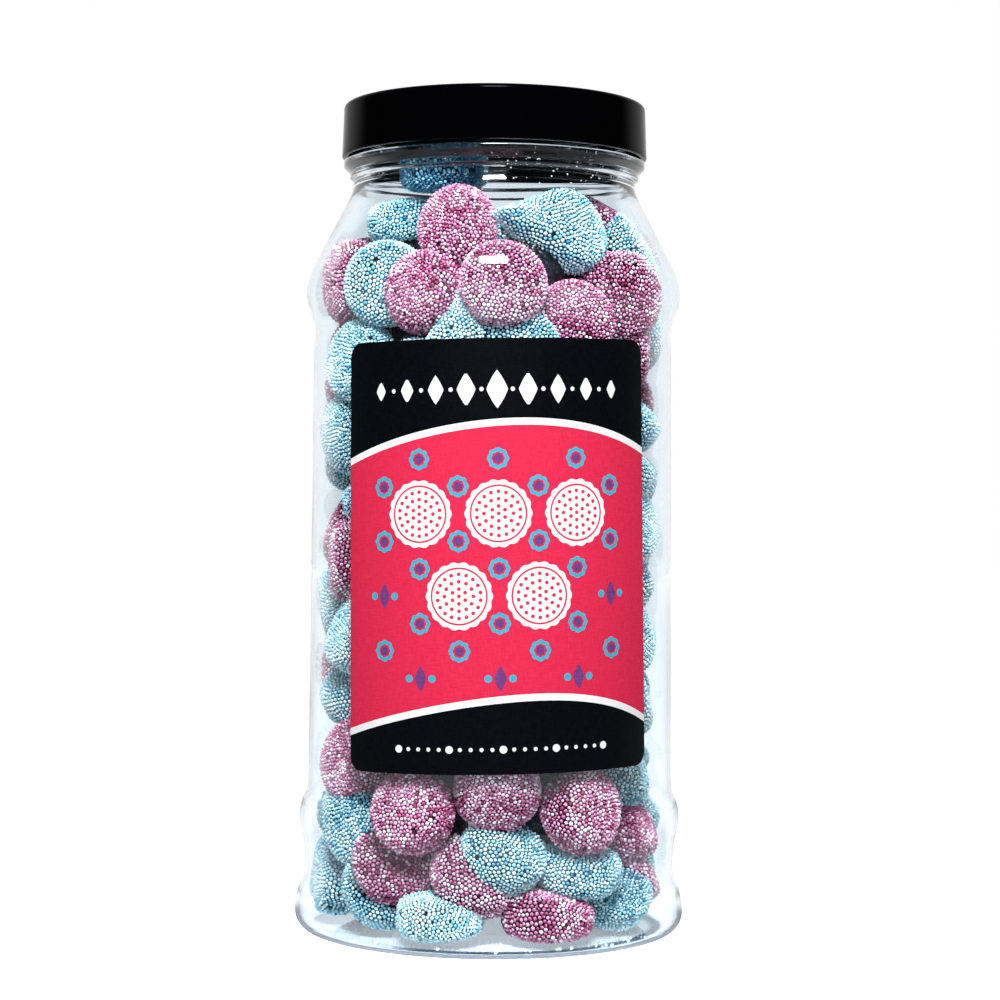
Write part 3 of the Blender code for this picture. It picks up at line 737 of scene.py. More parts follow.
@dataclass
class BlownJar:
    """The clear jar: a thin blown wall with a bulged foot and shoulder, and a moulded neck."""

    wall: float = 0.8
    core_wall: float = 1.0
    foot_radius: float = 42.4
    heel_radius: float = 4.2
    ring_inner_radius: float = 32.0
    push_up_height: float = 5.0
    panel_low: Pair = (39.65, 33.5)
    panel_high: Pair = (39.0, 127.0)
    foot_knots: Knots = (
        (42.2, 6.2), (41.9, 8.7), (40.6, 11.1), (40.2, 13.6), (40.2, 17.0), (40.8, 21.1),
        (41.45, 23.4), (41.5, 25.6), (41.15, 27.9), (39.85, 30.3),
    )
    shoulder_knots: Knots = (
        (38.65, 129.2), (38.85, 131.4), (39.35, 133.0), (40.2, 135.2), (40.75, 137.2), (40.85, 139.0),
        (40.4, 141.6), (39.1, 144.6), (37.7, 147.3), (35.0, 152.3), (32.3, 157.6), (31.3, 159.6),
        (30.8, 161.2),
    )
    neck_knots: Knots = (
        (30.75, 162.9), (31.5, 163.5), (31.5, 164.7), (32.9, 166.0), (32.9, 167.2),
    )
    finish_radius: float = 30.9
    bore_radius: float = 29.3
    bore_height: float = 162.7
    mouth_height: float = 177.7
    mouth_rounding: float = 0.5
    thread: ScrewThread = field(default_factory=lambda: ScrewThread(169.8, 0.72))
    columns: int = 168
    dome_rows: int = 22
    thread_rows: float = 0.22
    bore_rows: float = 2.0
    body_blur: float = 0.9
    neck_blur: float = 0.18
    body_steps: Pair = (2.4, 4.0)
    neck_steps: Pair = (0.5, 9.0)

    def heel_centre(self) -> Pair:
        """Centre of the heel's arc."""
        return self.foot_radius - self.heel_radius, self.heel_radius

    def body_knots(self) -> Knots:
        """Outer (radius, height) points from the heel to the neck."""
        return *self.foot_knots, self.panel_low, self.panel_high, *self.shoulder_knots

    def inner_wall(self) -> list[Pair]:
        """The CAD jar's inside, from the edge of the floor to the mouth, which the sweets touch.

        Returns:
            (radius, height) points.
        """
        line = arc(self.heel_centre(), self.heel_radius - self.core_wall, -90, 0, 3)
        line += [(radius - self.core_wall, height) for radius, height in self.body_knots()[:-1:2]]
        line += [(self.bore_radius, self.bore_height), (self.bore_radius, self.mouth_height)]
        return line

    def wall_radius(self, height: Array | float) -> Array | float:
        """Inner radius of the CAD jar at a height."""
        line = self.inner_wall()
        return np.interp(height, [z for _, z in line], [radius for radius, _ in line])

    def underside(self, radius: Array | float) -> Array | float:
        """Height of the underside: a dome of (1 - (r / ring)^2)^2 above the standing ring."""
        share = 1.0 - np.minimum(np.asarray(radius) / self.ring_inner_radius, 1.0) ** 2
        return self.push_up_height * share ** 2

    def panel_radius(self, height: Array | float) -> Array | float:
        """Outer radius of the slightly tapered label panel at a height."""
        (low, low_height), (high, high_height) = self.panel_low, self.panel_high
        return low + (high - low) * (height - low_height) / (high_height - low_height)

    def outer_line(self) -> Array:
        """Fine outer (radius, height) line from the standing ring to the foot of the neck."""
        heel = arc(self.heel_centre(), self.heel_radius, -90, 0, 10)
        return rounded([*heel, *self.body_knots()], self.body_blur, spacing=0.2)

    def profile(self) -> Array:
        """Closed profile: underside, heel, body, neck and mouth, then the inside down again.

        Returns:
            (n, 2) radius and height.
        """
        dome = np.linspace(0.0, self.ring_inner_radius, self.dome_rows)
        below = np.stack((dome, self.underside(dome)), axis=1)
        body = thinned(self.outer_line(), *self.body_steps)
        neck = rounded([self.body_knots()[-1], *self.neck_knots], self.neck_blur, spacing=0.05)
        neck = thinned(neck, *self.neck_steps)
        ledge = self.neck_knots[-1][1]
        finish_top = self.mouth_height - self.mouth_rounding
        finish = [(self.finish_radius, z) for z in np.arange(ledge, finish_top, self.thread_rows)]
        lip = arc((self.finish_radius - self.mouth_rounding, finish_top), self.mouth_rounding, 0, 90, 4)
        lip += arc((self.bore_radius + self.mouth_rounding, finish_top), self.mouth_rounding, 90, 180, 4)
        bore_heights = np.arange(finish_top - 1.0, self.bore_height, -self.bore_rows)
        bore = [(self.bore_radius, z) for z in bore_heights]
        above = np.stack((dome, self.underside(dome) + self.wall), axis=1)[::-1]
        return np.vstack((below, body[1:], neck[1:], finish, lip, bore, self.inner_line(), above))

    def inner_line(self) -> Array:
        """Inside of the blown wall, from the bore down to the floor's edge.

        Returns:
            (n, 2) radius and height.
        """
        heel = arc(self.heel_centre(), self.heel_radius - self.wall, -90, 0, 8)
        body = [(radius - self.wall, height) for radius, height in self.body_knots()[:-1]]
        line = [*heel, *body, (self.bore_radius, self.bore_height)]
        return thinned(rounded(line, self.body_blur, spacing=0.2), *self.body_steps)[::-1]

    def thread_ridge(self, turn: Array, rings: Array) -> Array:
        """The thread, on the profile points of the finish alone."""
        on_finish = np.abs(rings[:, 0] - self.finish_radius) < NEAR_ZERO
        return self.thread.ridge(turn, rings) * on_finish[:, None]

    def build(self) -> list[Piece]:
        """Make the jar's shell.

        Returns:
            The piece that replaces the CAD jar.
        """
        shell = turned_piece("jar_shell", self.profile(), self.columns, ClearPet().material(),
                             self.thread_ridge)
        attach(shell, "root")
        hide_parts("jar")
        return [shell]


# ---- lid


@dataclass
class ScrewLid:
    """The black cap: a plain tapered skirt, a rounded edge, and one ridge of thread inside."""

    radius: float = 33.3
    top_radius: float = 32.95
    low: float = 168.1
    high: float = 179.6
    bore_radius: float = 32.0
    top_thickness: float = 1.5
    edge_radius: float = 1.1
    foot_rounding: float = 0.3
    inner_rounding: float = 0.8
    thread: ScrewThread = field(default_factory=lambda: ScrewThread(171.6, 0.4))
    columns: int = 168
    thread_rows: float = 0.22
    skirt_rows: int = 8
    skirt_height: float = 9.3
    top_rings: Triple = (24.0, 12.0, 0.0)

    def profile(self) -> Array:
        """Closed profile: from the middle of the ceiling out, down, under the skirt, up, and in.

        Returns:
            (n, 2) radius and height.
        """
        ceiling = self.high - self.top_thickness
        inner = [(0.0, ceiling), (0.5 * self.bore_radius, ceiling)]
        inner += arc((self.bore_radius - self.inner_rounding, ceiling - self.inner_rounding),
                     self.inner_rounding, 90, 0, 5)
        bore_top = ceiling - self.inner_rounding
        bore_heights = np.arange(bore_top - 0.2, self.low + 0.2, -self.thread_rows)
        inner += [(self.bore_radius, z) for z in bore_heights]
        foot = arc((self.bore_radius + self.foot_rounding, self.low + self.foot_rounding),
                   self.foot_rounding, 180, 270, 4)
        foot += arc((self.radius - self.foot_rounding, self.low + self.foot_rounding),
                    self.foot_rounding, -90, 0, 4)
        shares = np.arange(1, self.skirt_rows) / self.skirt_rows
        slant = self.top_radius - self.radius
        foot_top = self.low + self.foot_rounding
        skirt = [(self.radius + slant * share, foot_top + self.skirt_height * share) for share in shares]
        edge = arc((self.top_radius - self.edge_radius, self.high - self.edge_radius),
                   self.edge_radius, 0, 90, 8)
        top = [(radius, self.high) for radius in self.top_rings]
        return np.array([*inner, *foot, *skirt, *edge, *top])

    def thread_ridge(self, turn: Array, rings: Array) -> Array:
        """The thread, which stands inwards from the bore."""
        on_bore = np.abs(rings[:, 0] - self.bore_radius) < NEAR_ZERO
        return -self.thread.ridge(turn, rings) * on_bore[:, None]

    def build(self) -> list[Piece]:
        """Make the cap.

        Returns:
            The piece that replaces the CAD lid.
        """
        cap = turned_piece("lid_cap", self.profile(), self.columns, BlackPolypropylene().material(),
                           self.thread_ridge)
        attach(cap, "root")
        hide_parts("lid")
        return [cap]


# ---- sweets


@dataclass
class JellyButton:
    """One sweet: where it lies behind the wall, how it is turned, and its form.

    Its section is a rounded box, |r / radius|^n + |z / half|^n = 1. A tip draws the rim out along
    the two tangents that meet there, taper thins one side, and bend makes the faces saddled.
    """

    colour: SweetColour
    bearing: float
    height: float
    lean: float
    roll: float
    inset: float = 0.0
    tip: float = 1.0
    radius: float = SWEET_RADIUS
    half: float = SWEET_HALF
    taper: float = 0.0
    bend: float = 0.0
    fixed: bool = True
    reach: float = 0.0
    squareness: float = SQUARENESS
    saddle_level: float = 0.3

    def stretch(self, turn: Array) -> Array:
        """Rim distance over the radius: 1 / cos of the turn left to where the tip's tangent touches."""
        tangent_turn = math.acos(1.0 / self.tip)
        return 1.0 / np.cos(np.maximum(0.0, tangent_turn - np.abs(turn)))

    def thinning(self, along: Array) -> Array:
        """Share of the thickness that is left, down to 1 / tip at the point, by the distance squared."""
        share = np.maximum(0.0, along / (self.tip * self.radius))
        return 1.0 - (1.0 - 1.0 / self.tip) * np.minimum(share, 1.0) ** 2

    def warped(self, points: Array) -> Array:
        """Apply taper and bend to points about the sweet's own centre.

        Args:
            points: (n, 3) points.

        Returns:
            The warped points.
        """
        across = np.minimum(points[:, 0] / self.radius, 1.0)
        up = points[:, 2] * (1.0 - self.taper * across) + self.bend * (across ** 2 - self.saddle_level)
        return np.stack((points[:, 0], points[:, 1], up), axis=1)

    def solid_points(self, sides: int = 10, shoulder: float = 0.62) -> Array:
        """The CAD solid's points about its own centre, which settle the sweet against the wall.

        Args:
            sides: corners of the rim.
            shoulder: height of the rim's edges, as a share of half the thickness.

        Returns:
            (n, 3) points.
        """
        turn = circle(sides)
        stretch = self.stretch(np.remainder(turn + math.pi, 2.0 * math.pi) - math.pi)
        ring = np.stack((np.cos(turn), np.sin(turn)), axis=1) * (self.radius * stretch)[:, None]
        level = shoulder * self.half * self.thinning(ring[:, :1])
        poles = np.array(((0.0, 0.0, -self.half), (0.0, 0.0, self.half)))
        return self.warped(np.vstack((np.hstack((ring, -level)), np.hstack((ring, level)), poles)))

    def axes(self) -> Array:
        """Rows: the sweet's own x, y and axis directions in the jar's frame.

        Returns:
            (3, 3) unit rows.
        """
        outward, rightward, upward = wall_directions(self.bearing)
        lean, roll = math.radians(self.lean), math.radians(self.roll)
        slide = math.cos(roll) * rightward + math.sin(roll) * upward
        axis = math.cos(lean) * outward + math.sin(lean) * slide
        side = -math.sin(roll) * rightward + math.cos(roll) * upward
        return np.stack((side, np.cross(axis, side), axis))

    def centre(self) -> Array:
        """Centre of the sweet in the jar's frame."""
        outward, _, upward = wall_directions(self.bearing)
        return self.reach * outward + self.height * upward

    def hubs(self) -> Array:
        """Seven points inside; a ball of the half thickness at each fills the sweet.

        Returns:
            (7, 3) places in the jar.
        """
        ring = self.radius - self.half
        turn = circle(6)
        flat = np.stack((ring * np.cos(turn), ring * np.sin(turn), np.zeros(6)), axis=1)
        return self.placed(np.vstack((flat, np.zeros(3))))

    def placed(self, points: Array) -> Array:
        """Carry points about the sweet's own centre into the jar."""
        return points @ self.axes() + self.centre()

    def plain_level(self, points: Array, depth: float = 0.0) -> Array:
        """How far out points about the centre lie, before taper and bend: 1 on the surface.

        Args:
            points: (n, 3) points about the sweet's own centre.
            depth: how far under the real surface the level is 1.

        Returns:
            (n,) levels, which grow as the power n of the distance from the centre.
        """
        stretch = self.stretch(np.arctan2(points[:, 1], points[:, 0]))
        out = np.hypot(points[:, 0], points[:, 1]) / ((self.radius - depth) * stretch)
        up = np.abs(points[:, 2]) / ((self.half - depth) * self.thinning(points[:, 0]))
        return out ** self.squareness + up ** self.squareness

    def level(self, places: Array) -> Array:
        """How far out places in the jar lie, with taper and bend taken back out.

        Args:
            places: (n, 3) places in the jar.

        Returns:
            (n,) levels, 1 on the surface.
        """
        local = (places - self.centre()) @ self.axes().T
        across = np.minimum(local[:, 0] / self.radius, 1.0)
        up = (local[:, 2] - self.bend * (across ** 2 - self.saddle_level)) / (1.0 - self.taper * across)
        return self.plain_level(np.stack((local[:, 0], local[:, 1], up), axis=1))

    def slope(self, places: Array) -> Array:
        """Unit outward directions at places near the surface, by central differences of the level.

        Args:
            places: (n, 3) places in the jar.

        Returns:
            (n, 3) directions.
        """
        step = 0.05
        offsets = step * np.eye(3)
        parts = [self.level(places + offset) - self.level(places - offset) for offset in offsets]
        return unit(np.stack(parts, axis=1))


@dataclass
class ButtonSkin:
    """The turned section of a plain sweet, with tables of its area and length from pole to pole."""

    radius: float = SWEET_RADIUS
    half: float = SWEET_HALF
    squareness: float = SQUARENESS
    samples: int = 400

    def __post_init__(self) -> None:
        """Add up the area and the length of the section from its lower pole to its upper one."""
        swing = np.linspace(-0.5 * math.pi, 0.5 * math.pi, self.samples)
        power = 2.0 / self.squareness
        self.out = np.cos(swing).clip(0.0) ** power
        self.up = np.sign(swing) * np.abs(np.sin(swing)) ** power
        lengths = np.hypot(np.diff(self.out) * self.radius, np.diff(self.up) * self.half)
        belts = math.pi * (self.out[1:] + self.out[:-1]) * self.radius * lengths
        self.area = float(belts.sum())
        self.by_area = np.concatenate(([0.0], np.cumsum(belts))) / self.area
        self.by_length = np.concatenate(([0.0], np.cumsum(lengths))) / float(lengths.sum())

    def points(self, sweet: JellyButton, share: Array, turn: Array, depth: float, measure: Array) -> Array:
        """Points about a sweet's centre, on its surface or a depth under it, before taper and bend.

        Args:
            sweet: the sweet.
            share: share of the skin from the lower pole, 0 to 1.
            turn: angle round the sweet's axis, -pi to pi.
            depth: how far under the surface, in mm.
            measure: the table that the share refers to, by_area or by_length.

        Returns:
            (n, 3) points.
        """
        stretch = sweet.stretch(turn)
        reach = np.interp(share, measure, self.out) * (sweet.radius - depth) * stretch
        thinning = sweet.thinning(reach * np.cos(turn))
        height = np.interp(share, measure, self.up) * (sweet.half - depth) * thinning
        return np.stack((reach * np.cos(turn), reach * np.sin(turn), height), axis=1)


PINK = SweetColour.PINK
BLUE = SweetColour.BLUE
Sweets = list[JellyButton]

# The sweets that show from the front, those in front before those behind: colour, bearing, height,
# lean of the axis away from the wall's normal, roll of that lean from the right and up, mm back
# from the wall, and on the one drawn out to a point, how many radii that point is from its centre.
FRONT_SWEETS: tuple[tuple, ...] = (
    # Row under the shoulder, then the shoulder and the neck
    (BLUE, -13, 120.0, 6, 0, 0, 1.9), (PINK, 3.5, 138.0, 20, 80, 0),
    (BLUE, 39, 150.2, 24, 81, 0, 2.1), (PINK, -28, 136.5, 16, 160, 1), (PINK, 60, 137.0, 24, 180, 0),
    (PINK, 34, 131.0, 18, 170, 1), (PINK, -17, 150.5, 22, 170, 0), (BLUE, -50, 139.0, 34, 0, 0),
    (PINK, -81, 140.5, 12, 0, 0),
    (BLUE, 77, 146.5, 28, 80, 0), (BLUE, -60, 153.0, 82, 92, 2), (BLUE, -35, 163.8, 82, 92, 0.5),
    (PINK, 82, 152.5, 60, 100, 0), (BLUE, 9, 124.0, 12, 90, 0), (BLUE, -31, 118.5, 10, 90, 0),
    # Left strip, beside the label
    (BLUE, -62, 123.0, 14, 10, 0), (BLUE, -72, 107.5, 12, 0, 0), (BLUE, -66, 94.0, 70, 80, 3),
    (PINK, -71, 80.5, 16, 200, 0), (BLUE, -62, 65.0, 24, 100, 0), (BLUE, -75, 52.5, 66, 75, 0),
    (PINK, -61, 38.0, 16, 20, 0),
    # Right strip
    (PINK, 74, 126.0, 14, 20, 0), (BLUE, 77, 112.0, 50, 100, 0), (BLUE, 67, 101.0, 62, 80, 0),
    (BLUE, 70, 89.0, 12, 90, 0), (BLUE, 82, 76.5, 62, 70, 0), (BLUE, 66, 65.5, 16, 120, 0),
    (BLUE, 77, 51.5, 24, 60, 0), (BLUE, 68, 37.5, 24, 60, 0),
    # Below the label
    (PINK, -27.5, 29.0, 10, 120, 0), (PINK, 3, 33.5, 28, 270, 0), (PINK, 35, 29.0, 12, 60, 0),
    (BLUE, 6, 20.2, 54, 64, 0), (PINK, 24.5, 7.4, 84, 86, 0), (BLUE, -19, 7.2, 86, 88, 0),
    (BLUE, 39, 16.5, 76, 94, 0), (PINK, -6, 15.5, 56, 50, 1), (BLUE, 63, 9.4, 56, 124, 0),
    (PINK, -41, 17.5, 50, 52, 0), (BLUE, -60, 25.0, 14, 0, 0), (PINK, 74, 24.0, 34, 80, 0),
    (BLUE, -51, 10.5, 66, 30, 0), (PINK, 82, 13.5, 40, 60, 0), (BLUE, -86, 12.0, 12, 0, 0),
)


@dataclass
class Heap:
    """Where each sweet lies: the CAD heap's own layout, and one more layer behind it."""

    jar: BlownJar
    seed: int = 11
    wall_clearance: float = 0.5
    floor_clearance: float = 0.45
    row_heights: tuple[float, ...] = (8.0, 21.5, 35.0, 48.5, 62.0, 75.5, 89.0, 102.5, 116.0, 129.5, 143.0)
    row_count: int = 12
    row_clearance: float = 13.5
    row_drift: Pair = (4.0, 1.5)
    row_leans: tuple[int, ...] = (8, 16, 24, 50, 66, 78, 86)
    steep_lean: float = 40.0
    steep_rolls: Pair = (50, 130)
    hidden_bearings: Pair = (-40.0, 46.0)
    hidden_heights: Pair = (50.0, 113.0)
    relax_steps: int = 90
    relax_damping: float = 0.6
    share_against_fixed: float = 0.9
    share_against_free: float = 0.45
    drop_overlap: float = 2.4
    tuck_overlap: float = 1.8
    tuck_step: float = 0.5
    tuck_limit: float = 1.5
    near_reach: float = 2.2 * SWEET_RADIUS
    size_range: Pair = (0.95, 1.05)
    thickness_range: Pair = (0.92, 1.08)
    most_taper: float = 0.22
    most_bend: float = 0.9
    crown_count: int = 6
    crown_radius: float = 12.0
    crown_heights: Pair = (149.0, 154.5)
    crown_leans: Pair = (68, 100)
    crown_drift: float = 8.0
    floor_count: int = 5
    floor_radius: float = 14.0
    floor_drift: float = 6.0
    inner_rows: int = 10
    inner_count: int = 8
    inner_reach: float = 22.5
    inner_lift: float = 6.0
    inner_drift: Pair = (7.0, 2.0)

    def settle(self, sweet: JellyButton) -> None:
        """Put a sweet against the wall, clear of the floor.

        Args:
            sweet: the sweet, whose reach and height are set.
        """
        offsets = sweet.solid_points() @ sweet.axes()
        outward, rightward, _ = wall_directions(sweet.bearing)
        for _ in range(3):
            limit = self.jar.wall_radius(sweet.height + offsets[:, 2]) - self.wall_clearance
            across = offsets @ rightward
            free = np.sqrt(np.maximum(limit ** 2 - across ** 2, 0.0)) - offsets @ outward
            sweet.reach = float(free.min()) - sweet.inset
            sweet.height += self.lift_off_floor(sweet, offsets)

    def lift_off_floor(self, sweet: JellyButton, offsets: Array) -> float:
        """How far a sweet must rise to clear the jar's floor.

        Args:
            sweet: the sweet.
            offsets: its points, from its centre.

        Returns:
            Millimetres, 0 if it is clear.
        """
        places = offsets + sweet.centre()
        floor = self.jar.core_wall + self.jar.underside(np.hypot(places[:, 0], places[:, 1]))
        return max(0.0, float((floor + self.floor_clearance - places[:, 2]).max()))

    @staticmethod
    def overlap(one: tuple[JellyButton, Array], other: tuple[JellyButton, Array]) -> float:
        """How deep two sweets reach into each other, from their hub points."""
        gaps = np.linalg.norm(one[1][:, None, :] - other[1][None, :, :], axis=2)
        return one[0].half + other[0].half - float(gaps.min())

    def tuck_behind(self, sweets: Sweets) -> None:
        """Move each sweet back from the wall until it clears those before it, up to a limit.

        Args:
            sweets: the sweets, from front to back.
        """
        taken = []
        for sweet in sweets:
            self.settle(sweet)
            while sweet.inset < self.tuck_limit:
                here = (sweet, sweet.hubs())
                if all(self.overlap(here, other) < self.tuck_overlap for other in taken):
                    break
                sweet.inset += self.tuck_step
                self.settle(sweet)
            taken.append((sweet, sweet.hubs()))

    def relax(self, sweets: Sweets) -> None:
        """Slide the free sweets along the wall until they stop crossing their neighbours.

        Args:
            sweets: all the sweets at the wall.
        """
        low, high = self.row_heights[0], self.row_heights[-1]
        for _ in range(self.relax_steps):
            for sweet in sweets:
                self.settle(sweet)
            hubs = [(sweet, sweet.hubs()) for sweet in sweets]
            centres = np.array([sweet.centre() for sweet in sweets])
            for i, sweet in enumerate(sweets):
                if sweet.fixed:
                    continue
                push = np.zeros(2)
                near = np.linalg.norm(centres - centres[i], axis=1) < self.near_reach
                _, rightward, _ = wall_directions(sweet.bearing)
                for j in np.flatnonzero(near):
                    depth = self.overlap(hubs[i], hubs[j]) if j != i else 0.0
                    if depth <= 0.0:
                        continue
                    away = centres[i] - centres[j]
                    slide = np.array((float(away @ rightward), float(away[2])))
                    share = self.share_against_fixed if sweets[j].fixed else self.share_against_free
                    push += self.relax_damping * share * depth * slide / max(math.hypot(*slide), 1e-3)
                sweet.bearing += math.degrees(push[0] / max(sweet.reach, SWEET_RADIUS))
                sweet.height = min(max(sweet.height + push[1], low), high)
        for sweet in sweets:
            self.settle(sweet)

    def without_crossing(self, sweets: Sweets) -> Sweets:
        """Leave out free sweets that still reach deep into a neighbour.

        Args:
            sweets: all the sweets.

        Returns:
            Those that stay, the fixed ones first.
        """
        kept = []
        for sweet in sorted(sweets, key=lambda item: not item.fixed):
            here = (sweet, sweet.hubs())
            clear = all(self.overlap(here, (other, other.hubs())) < self.drop_overlap for other in kept)
            if sweet.fixed or clear:
                kept.append(sweet)
        return kept

    def vary(self, sweet: JellyButton, draw: random.Random) -> JellyButton:
        """Give a sweet its own size, thickness, taper and bend.

        Args:
            sweet: the sweet to change.
            draw: the random source.

        Returns:
            The same sweet.
        """
        sweet.radius = SWEET_RADIUS * draw.uniform(*self.size_range)
        sweet.half = SWEET_HALF * draw.uniform(*self.thickness_range)
        sweet.taper = draw.uniform(-self.most_taper, self.most_taper)
        sweet.bend = draw.uniform(-self.most_bend, self.most_bend)
        return sweet

    def row_sweets(self, draw: random.Random, taken: Sweets) -> Sweets:
        """Sweets in staggered rows over the rest of the wall, away from the ones given.

        Args:
            draw: the random source.
            taken: the sweets given.

        Returns:
            The new sweets.
        """
        sweets = []
        for row, level in enumerate(self.row_heights):
            for k in range(self.row_count):
                bearing = (k + 0.5 * (row % 2)) * 360.0 / self.row_count - 180.0
                bearing += draw.uniform(-self.row_drift[0], self.row_drift[0])
                height = level + draw.uniform(-self.row_drift[1], self.row_drift[1])
                lean = draw.choice(self.row_leans)
                roll = draw.uniform(*self.steep_rolls) if lean > self.steep_lean else draw.uniform(0, 360)
                sweet = JellyButton(draw.choice((PINK, BLUE)), bearing, height, lean, roll, fixed=False)
                self.vary(sweet, draw)
                self.settle(sweet)
                gaps = [np.linalg.norm(sweet.centre() - one.centre()) for one in taken]
                if min(gaps) > self.row_clearance and not self.is_hidden(bearing, level):
                    sweets.append(sweet)
        return sweets

    def is_hidden(self, bearing: float, height: float) -> bool:
        """Whether a place on the wall lies well behind the label."""
        across = self.hidden_bearings[0] < bearing < self.hidden_bearings[1]
        return across and self.hidden_heights[0] < height < self.hidden_heights[1]

    def loose_sweets(self, draw: random.Random) -> Sweets:
        """Sweets on top of the heap and on the jar's floor, away from the wall.

        Args:
            draw: the random source.

        Returns:
            The new sweets.
        """
        sweets = []
        for k in range(self.crown_count):
            bearing = 360.0 * k / self.crown_count + draw.uniform(-self.crown_drift, self.crown_drift)
            lean = draw.uniform(*self.crown_leans)
            height = self.crown_heights[k % 2]
            sweet = JellyButton(draw.choice((PINK, BLUE)), bearing, height, lean, 90, fixed=False)
            self.vary(sweet, draw)
            sweet.reach = self.crown_radius
            sweets.append(sweet)
        for k in range(self.floor_count):
            bearing = 360.0 * k / self.floor_count + draw.uniform(-self.floor_drift, self.floor_drift)
            sweet = JellyButton(draw.choice((PINK, BLUE)), bearing, 0.0, 90, 90, fixed=False)
            self.vary(sweet, draw)
            sweet.reach = self.floor_radius
            sweet.height += self.lift_off_floor(sweet, sweet.solid_points() @ sweet.axes())
            sweets.append(sweet)
        return sweets

    def lay_out(self) -> Sweets:
        """Place the sweets of the CAD heap, seeded so that each run gives the same heap.

        Returns:
            The sweets.
        """
        draw = random.Random(self.seed)
        front = [self.vary(JellyButton(*row), draw) for row in FRONT_SWEETS]
        self.tuck_behind(front)
        wall_layer = front + self.row_sweets(draw, front)
        self.relax(wall_layer)
        return self.without_crossing(wall_layer + self.loose_sweets(draw))

    def second_layer(self) -> Sweets:
        """Sweets behind the gaps of the wall layer, turned any way.

        Returns:
            The sweets.
        """
        draw = random.Random(self.seed + 1)
        sweets = []
        low, high = self.row_heights[0] + self.inner_lift, self.row_heights[-1]
        swing, drift = self.inner_drift
        for row in range(self.inner_rows):
            level = low + (high - low) * row / (self.inner_rows - 1)
            for k in range(self.inner_count):
                bearing = (k + 0.5 * (row % 2)) * 360.0 / self.inner_count + draw.uniform(-swing, swing)
                height = level + draw.uniform(-drift, drift)
                sweet = JellyButton(draw.choice((PINK, BLUE)), bearing, height,
                                    draw.uniform(0, 90), draw.uniform(0, 360))
                self.vary(sweet, draw)
                sweet.reach = self.inner_reach
                sweets.append(sweet)
        return sweets


@dataclass
class BeadCoat:
    """The coat of beads: a close packing of mixed sizes, laid over each sweet another way round."""

    skin: ButtonSkin
    sizes: Triple = (0.38, 0.49, 0.60)
    cover: float = 0.94
    tightness: float = 0.87
    depth: float = 0.40
    lost_share: float = 0.002
    seed: int = 5
    rounds: int = 80
    step: float = 0.3
    packings: dict[float, ArrayPair] = field(default_factory=dict)

    def packing(self, tip: float) -> ArrayPair:
        """Pack beads over a plain sweet, once for each form.

        Beads that cross push each other apart by a share of the overlap. Each is then brought
        back to the skin by a Newton step along the slope of the level, which is 1 there.

        Args:
            tip: how many radii the sweet's point is from its centre, 1 for a round one.

        Returns:
            (n, 3) bead centres about the sweet's centre, and (n,) bead radii.
        """
        if tip in self.packings:
            return self.packings[tip]
        draw = np.random.default_rng(self.seed)
        model = JellyButton(PINK, 0.0, 0.0, 0.0, 0.0, tip=tip)
        rim = np.linspace(-math.pi, math.pi, 361)
        widening = model.stretch(rim) ** 2
        low, middle, high = self.sizes
        mean_square = (low ** 2 + middle ** 2 + high ** 2 + low * middle + middle * high + low * high) / 6.0
        skin_area = self.skin.area * float(widening.mean())
        count = int(self.cover * skin_area / (math.pi * mean_square))
        radii = draw.triangular(low, middle, high, size=count)
        spread = np.cumsum(widening)
        turn = np.interp(draw.random(count), spread / spread[-1], rim)
        share = draw.random(count)
        points = self.skin.points(model, share, turn, self.depth, self.skin.by_area)
        reach = radii[:, None] + radii[None, :]
        for _ in range(self.rounds):
            square = (points ** 2).sum(axis=1)
            square_gaps = square[:, None] + square[None, :] - 2.0 * points @ points.T
            gaps = np.sqrt(np.maximum(square_gaps, NEAR_ZERO))
            weight = np.clip(reach - gaps, 0.0, None) / gaps
            np.fill_diagonal(weight, 0.0)
            points = points + self.step * (weight.sum(axis=1, keepdims=True) * points - weight @ points)
            points = self.on_skin(model, points)
        self.packings[tip] = (points, radii)
        return points, radii

    def on_skin(self, model: JellyButton, points: Array, step: float = 0.02) -> Array:
        """Bring points near a plain sweet's skin back onto it, along the slope of its size.

        Args:
            model: the plain sweet.
            points: points near its skin.
            step: distance over which the slope is measured.

        Returns:
            The moved points.
        """
        def size(places: Array) -> Array:
            """Distance out, 1 on the skin, that grows evenly."""
            return model.plain_level(places, self.depth) ** (1.0 / model.squareness)

        here = size(points)
        slope = np.stack([(size(points + offset) - here) / step for offset in step * np.eye(3)], axis=1)
        square = np.maximum((slope ** 2).sum(axis=1), NEAR_ZERO)
        return points - ((here - 1.0) / square)[:, None] * slope

    def coat(self, sweet: JellyButton, draw: Draw) -> tuple[Array, Array, Array]:
        """Lay the beads of one sweet: the packing, spun and mirrored if round, and fitted to it.

        Args:
            sweet: the sweet.
            draw: the random source of this sweet's turn and of the beads it has lost.

        Returns:
            Places of the bead centres, outward directions there, and bead radii.
        """
        points, radii = self.packing(sweet.tip)
        if sweet.tip == 1.0:
            spin = draw.uniform(-math.pi, math.pi)
            cos, sin = math.cos(spin), math.sin(spin)
            points = points @ ((cos, sin, 0.0), (-sin, cos, 0.0), (0.0, 0.0, draw.choice((-1.0, 1.0))))
        kept = draw.random(len(points)) > self.lost_share
        wide = (sweet.radius - self.depth) / (self.skin.radius - self.depth)
        thick = (sweet.half - self.depth) / (self.skin.half - self.depth)
        places = sweet.placed(sweet.warped(points[kept] * (wide, wide, thick)))
        return places, sweet.slope(places), radii[kept] * self.tightness


